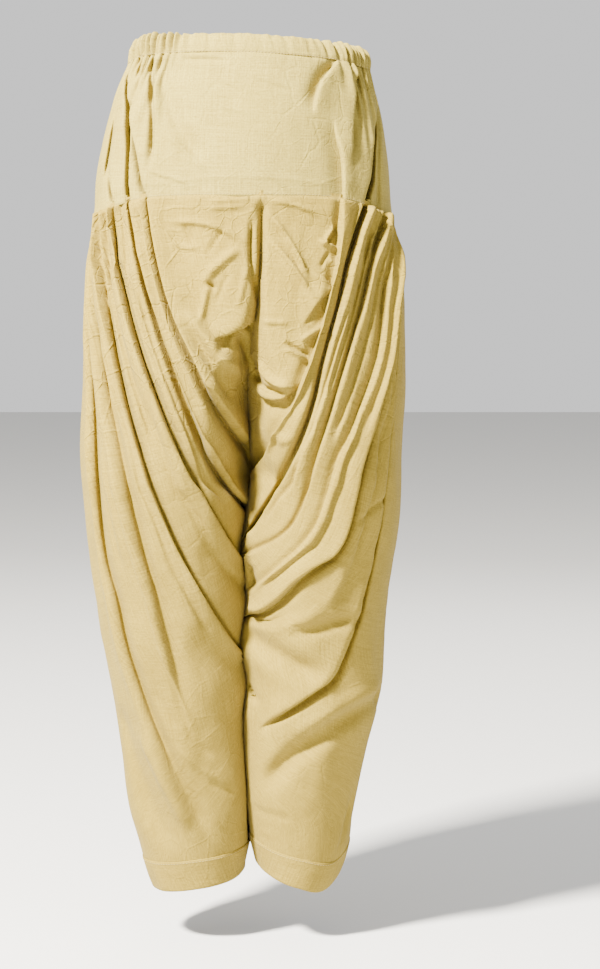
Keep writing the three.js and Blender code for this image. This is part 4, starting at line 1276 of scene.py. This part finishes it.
def wovenCotton(name, look):
    # plain-weave cotton, piece-dyed: soft and matt, with thicker threads here and there and a faint nap
    material = emptyMaterial(name)
    tree = material.node_tree
    place = addNode(tree, "UVMap", out="UV", uv_map="cloth")
    body = addNode(tree, "TexCoord", out="Object")

    # threads side by side; the real ones are near 0.4 mm apart, drawn coarser so that a close view shows them
    threadScale = 2 * math.pi / 20 / (look["threadPitch"] * 0.001)
    sheet = {"Vector": place, "Scale": threadScale, "Distortion": 0.0}
    warp = addNode(tree, "TexWave", sheet, out="Fac", bands_direction="X")
    weft = addNode(tree, "TexWave", sheet, out="Fac", bands_direction="Y")
    weave = addNode(tree, "Math", {0: warp, 1: weft}, operation="MULTIPLY")

    # thicker threads: streaks a few centimetres long, up and down and across
    upright = addNode(tree, "Mapping", {"Vector": place, "Scale": (900, 22, 1)})
    level = addNode(tree, "Mapping", {"Vector": place, "Scale": (22, 900, 1)})
    warpSlub = addNode(tree, "TexNoise", {"Vector": upright, "Scale": 1.0, "Detail": 2.0}, out="Fac")
    weftSlub = addNode(tree, "TexNoise", {"Vector": level, "Scale": 1.0, "Detail": 2.0}, out="Fac")
    slub = addNode(tree, "Math", {0: warpSlub, 1: weftSlub}, operation="ADD")

    # uneven dye and soft crumples
    dye = addNode(tree, "TexNoise", {"Vector": body, "Scale": 16.0, "Detail": 4.0}, out="Fac")
    crumple = addNode(tree, "TexNoise", {
        "Vector": body, "Scale": 90.0, "Detail": 5.0, "Roughness": 0.62}, out="Fac")

    # sharp creases where the cloth was crushed, as a net of bent lines in two sizes, each raised or sunk
    bend = addNode(tree, "TexNoise", {"Vector": body, "Scale": 22.0, "Detail": 3.0}, out="Color")
    bent = addNode(tree, "VectorMath", {0: bend, 1: (0.014, 0.014, 0.014), 2: body}, operation="MULTIPLY_ADD")
    height = addNode(tree, "SeparateXYZ", {"Vector": body}, out="Z")
    seatShare = addNode(tree, "MapRange", {
        "Value": height, "From Min": -0.5, "From Max": -0.36, "To Min": look["lowShare"], "To Max": 1.0})
    creased = None
    for size, rise, sharpness in look["crushed"]:
        edge = addNode(tree, "TexVoronoi", {"Vector": bent, "Scale": 1000 / size},
                       out="Distance", feature="DISTANCE_TO_EDGE")
        line = addNode(tree, "MapRange", {
            "Value": edge, "From Min": 0.0, "From Max": sharpness, "To Min": 1.0, "To Max": 0.0},
            interpolation_type="SMOOTHERSTEP")
        where = addNode(tree, "TexNoise", {"Vector": body, "Scale": 330 / size, "Detail": 1.0}, out="Fac")
        amount = addNode(tree, "MapRange", {
            "Value": where, "From Min": 0.36, "From Max": 0.64, "To Min": -rise, "To Max": rise})
        shown = addNode(tree, "Math", {0: amount, 1: seatShare}, operation="MULTIPLY")
        lined = addNode(tree, "Math", {0: line, 1: shown}, operation="MULTIPLY")
        creased = lined if creased is None else addNode(tree, "Math", {0: creased, 1: lined}, operation="ADD")

    # darker and paler fibres, two to three millimetres long
    fleck = addNode(tree, "TexNoise", {
        "Vector": place, "Scale": 420.0, "Detail": 2.0, "Roughness": 0.7}, out="Fac")
    mottled = addNode(tree, "Math", {0: fleck, 1: look["fleckShare"], 2: slub}, operation="MULTIPLY_ADD")
    shade = addNode(tree, "MapRange", {
        "Value": mottled, "From Min": 0.75 + 0.3 * look["fleckShare"],
        "From Max": 1.3 + 0.7 * look["fleckShare"]})
    dark, light, worn = (linear(look[key]) for key in ("dark", "light", "dyed"))
    threads = addNode(tree, "Mix", {0: shade, 6: dark, 7: light}, out=2, data_type="RGBA")
    dyed = addNode(tree, "MapRange", {
        "Value": dye, "From Min": 0.3, "From Max": 0.7, "To Min": 0.0, "To Max": look["dyeShare"]})
    colour = addNode(tree, "Mix", {0: dyed, 6: threads, 7: worn}, out=2, data_type="RGBA")

    # heights one over another, in metres
    layers = [(creased, 0.001), (crumple, look["crumpleHeight"] * 0.001), (slub, look["slubHeight"] * 0.001),
              (weave, look["weaveHeight"] * 0.001)]
    shaped = {}
    for layer, rise in layers:
        bumped = addNode(tree, "Bump", {"Height": layer, "Strength": 1.0, "Distance": rise, **shaped})
        shaped = {"Normal": bumped}
    cloth = addNode(tree, "BsdfPrincipled", {
        "Base Color": colour, "Roughness": 0.9, "Specular IOR Level": 0.15, "Sheen Weight": look["sheen"],
        "Sheen Roughness": 0.5, "Sheen Tint": linear("#fff6df"), **shaped})
    addNode(tree, "OutputMaterial", {"Surface": cloth})
    return material


clothLooks = {
    # unbleached-looking yoke cloth, ironed flat, a little paler than the legs, whose darker colours are
    # painted shade
    "belt": dict(light="#9a8b42", dark="#6f6024", dyed="#7a6a26", dyeShare=0.3, threadPitch=1.8,
                 weaveHeight=0.05, slubHeight=0.14, crumpleHeight=0.5, sheen=0.03,
                 crushed=[(40, 0.35, 0.06), (15, 0.2, 0.10)], lowShare=1.0,
                 fleckShare=1.2),
    # the same cotton, creased and gathered; its colours are darker than the belt's as painted shade, so that
    # its shadows look deeper
    "leg": dict(light="#937f31", dark="#685718", dyed="#6f5d1a", dyeShare=0.35, threadPitch=1.8,
                weaveHeight=0.05, slubHeight=0.14, crumpleHeight=0.6, sheen=0.03,
                crushed=[(37, 0.85, 0.06), (14, 0.48, 0.10)], lowShare=0.25,
                fleckShare=1.2),
}


def spunThread(name, colour):
    # three-ply cotton sewing thread: fine twist across each stitch, slightly shinier than the cloth
    material = emptyMaterial(name)
    tree = material.node_tree
    body = addNode(tree, "TexCoord", out="Object")
    twist = addNode(tree, "TexWave", {"Vector": body, "Scale": 900.0, "Distortion": 1.0},
                    out="Fac", bands_direction="DIAGONAL")
    bumped = addNode(tree, "Bump", {"Height": twist, "Strength": 0.6, "Distance": 0.00005})
    thread = addNode(tree, "BsdfPrincipled", {
        "Base Color": linear(colour), "Roughness": 0.6, "Sheen Weight": 0.2, "Normal": bumped})
    addNode(tree, "OutputMaterial", {"Surface": thread})
    return material


beltCotton = wovenCotton("plain-weave cotton, belt", clothLooks["belt"])
legCotton = wovenCotton("plain-weave cotton, legs", clothLooks["leg"])
beltThread = spunThread("cotton sewing thread", "#8f7a3c")
for piece in [*beltPieces.values(), *casingPieces.values()]:
    piece.data.materials.append(beltCotton)
# legs and cuffs take the cotton whose darker colours are painted shade
for piece in [*legPieces.values(), *cuffPieces.values()]:
    piece.data.materials.append(legCotton)
for piece in threadPieces.values():
    piece.data.materials.append(beltThread)
print("materials ready")

# Studio: pale floor, soft light from the camera's side, brighter from the left.
studio = {
    "floor": "#c4c3c0",
    "floorHeight": -1.045,
    "world": "#ffffff",
    "worldStrength": 0.95,
    "aim": (0, 0, -0.5),
    "lamps": [
        dict(name="keyLight", place=(-1.9, -2.2, 2.3), size=0.5, power=2050, colour="#fffaf0"),
        dict(name="fillLight", place=(2.4, -2.2, 0.4), size=2.2, power=40, colour="#f3f6ff"),
        dict(name="backLight", place=(0.6, 2.8, 1.4), size=2.0, power=60, colour="#ffffff"),
    ],
}


def plainMaterial(name, colour, roughness):
    material = bpy.data.materials.new(name)
    material.use_nodes = True
    shader = material.node_tree.nodes["Principled BSDF"]
    shader.inputs["Base Color"].default_value = linear(colour)
    shader.inputs["Roughness"].default_value = roughness
    return material


def makeFloor():
    mesh = bpy.data.meshes.new("studioFloor")
    z, reach = studio["floorHeight"], 14
    corners = [(x * reach, y * reach, z) for x, y in ((-1, -1), (1, -1), (1, 1), (-1, 1))]
    mesh.from_pydata(corners, [], [(0, 1, 2, 3)])
    mesh.materials.append(plainMaterial("matt painted studio floor", studio["floor"], 0.9))
    return linked("studioFloor", mesh)


def makeLamp(name, place, size, power, colour):
    data = bpy.data.lights.new(name, "AREA")
    data.shape = "SQUARE"
    data.size = size
    data.energy = power
    data.color = linear(colour)[:3]
    aimed(linked(name, data), place, studio["aim"])


def makeWorld():
    world = bpy.data.worlds.new("paleStudio")
    world.use_nodes = True
    backdrop = world.node_tree.nodes["Background"]
    backdrop.inputs["Color"].default_value = linear(studio["world"])
    backdrop.inputs["Strength"].default_value = studio["worldStrength"]
    bpy.context.scene.world = world


floor = makeFloor()
for lamp in studio["lamps"]:
    makeLamp(**lamp)
makeWorld()
print("studio lit")

for piece in [*legPieces.values(), *cuffPieces.values(), *beltPieces.values(), *casingPieces.values(),
              *threadPieces.values()]:
    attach(piece, "root")
for leg in ("left", "right"):
    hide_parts("leg_" + leg)
    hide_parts("cuff_" + leg)
for face in ("back", "front"):
    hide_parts("belt_" + face)
    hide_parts("casing_" + face)
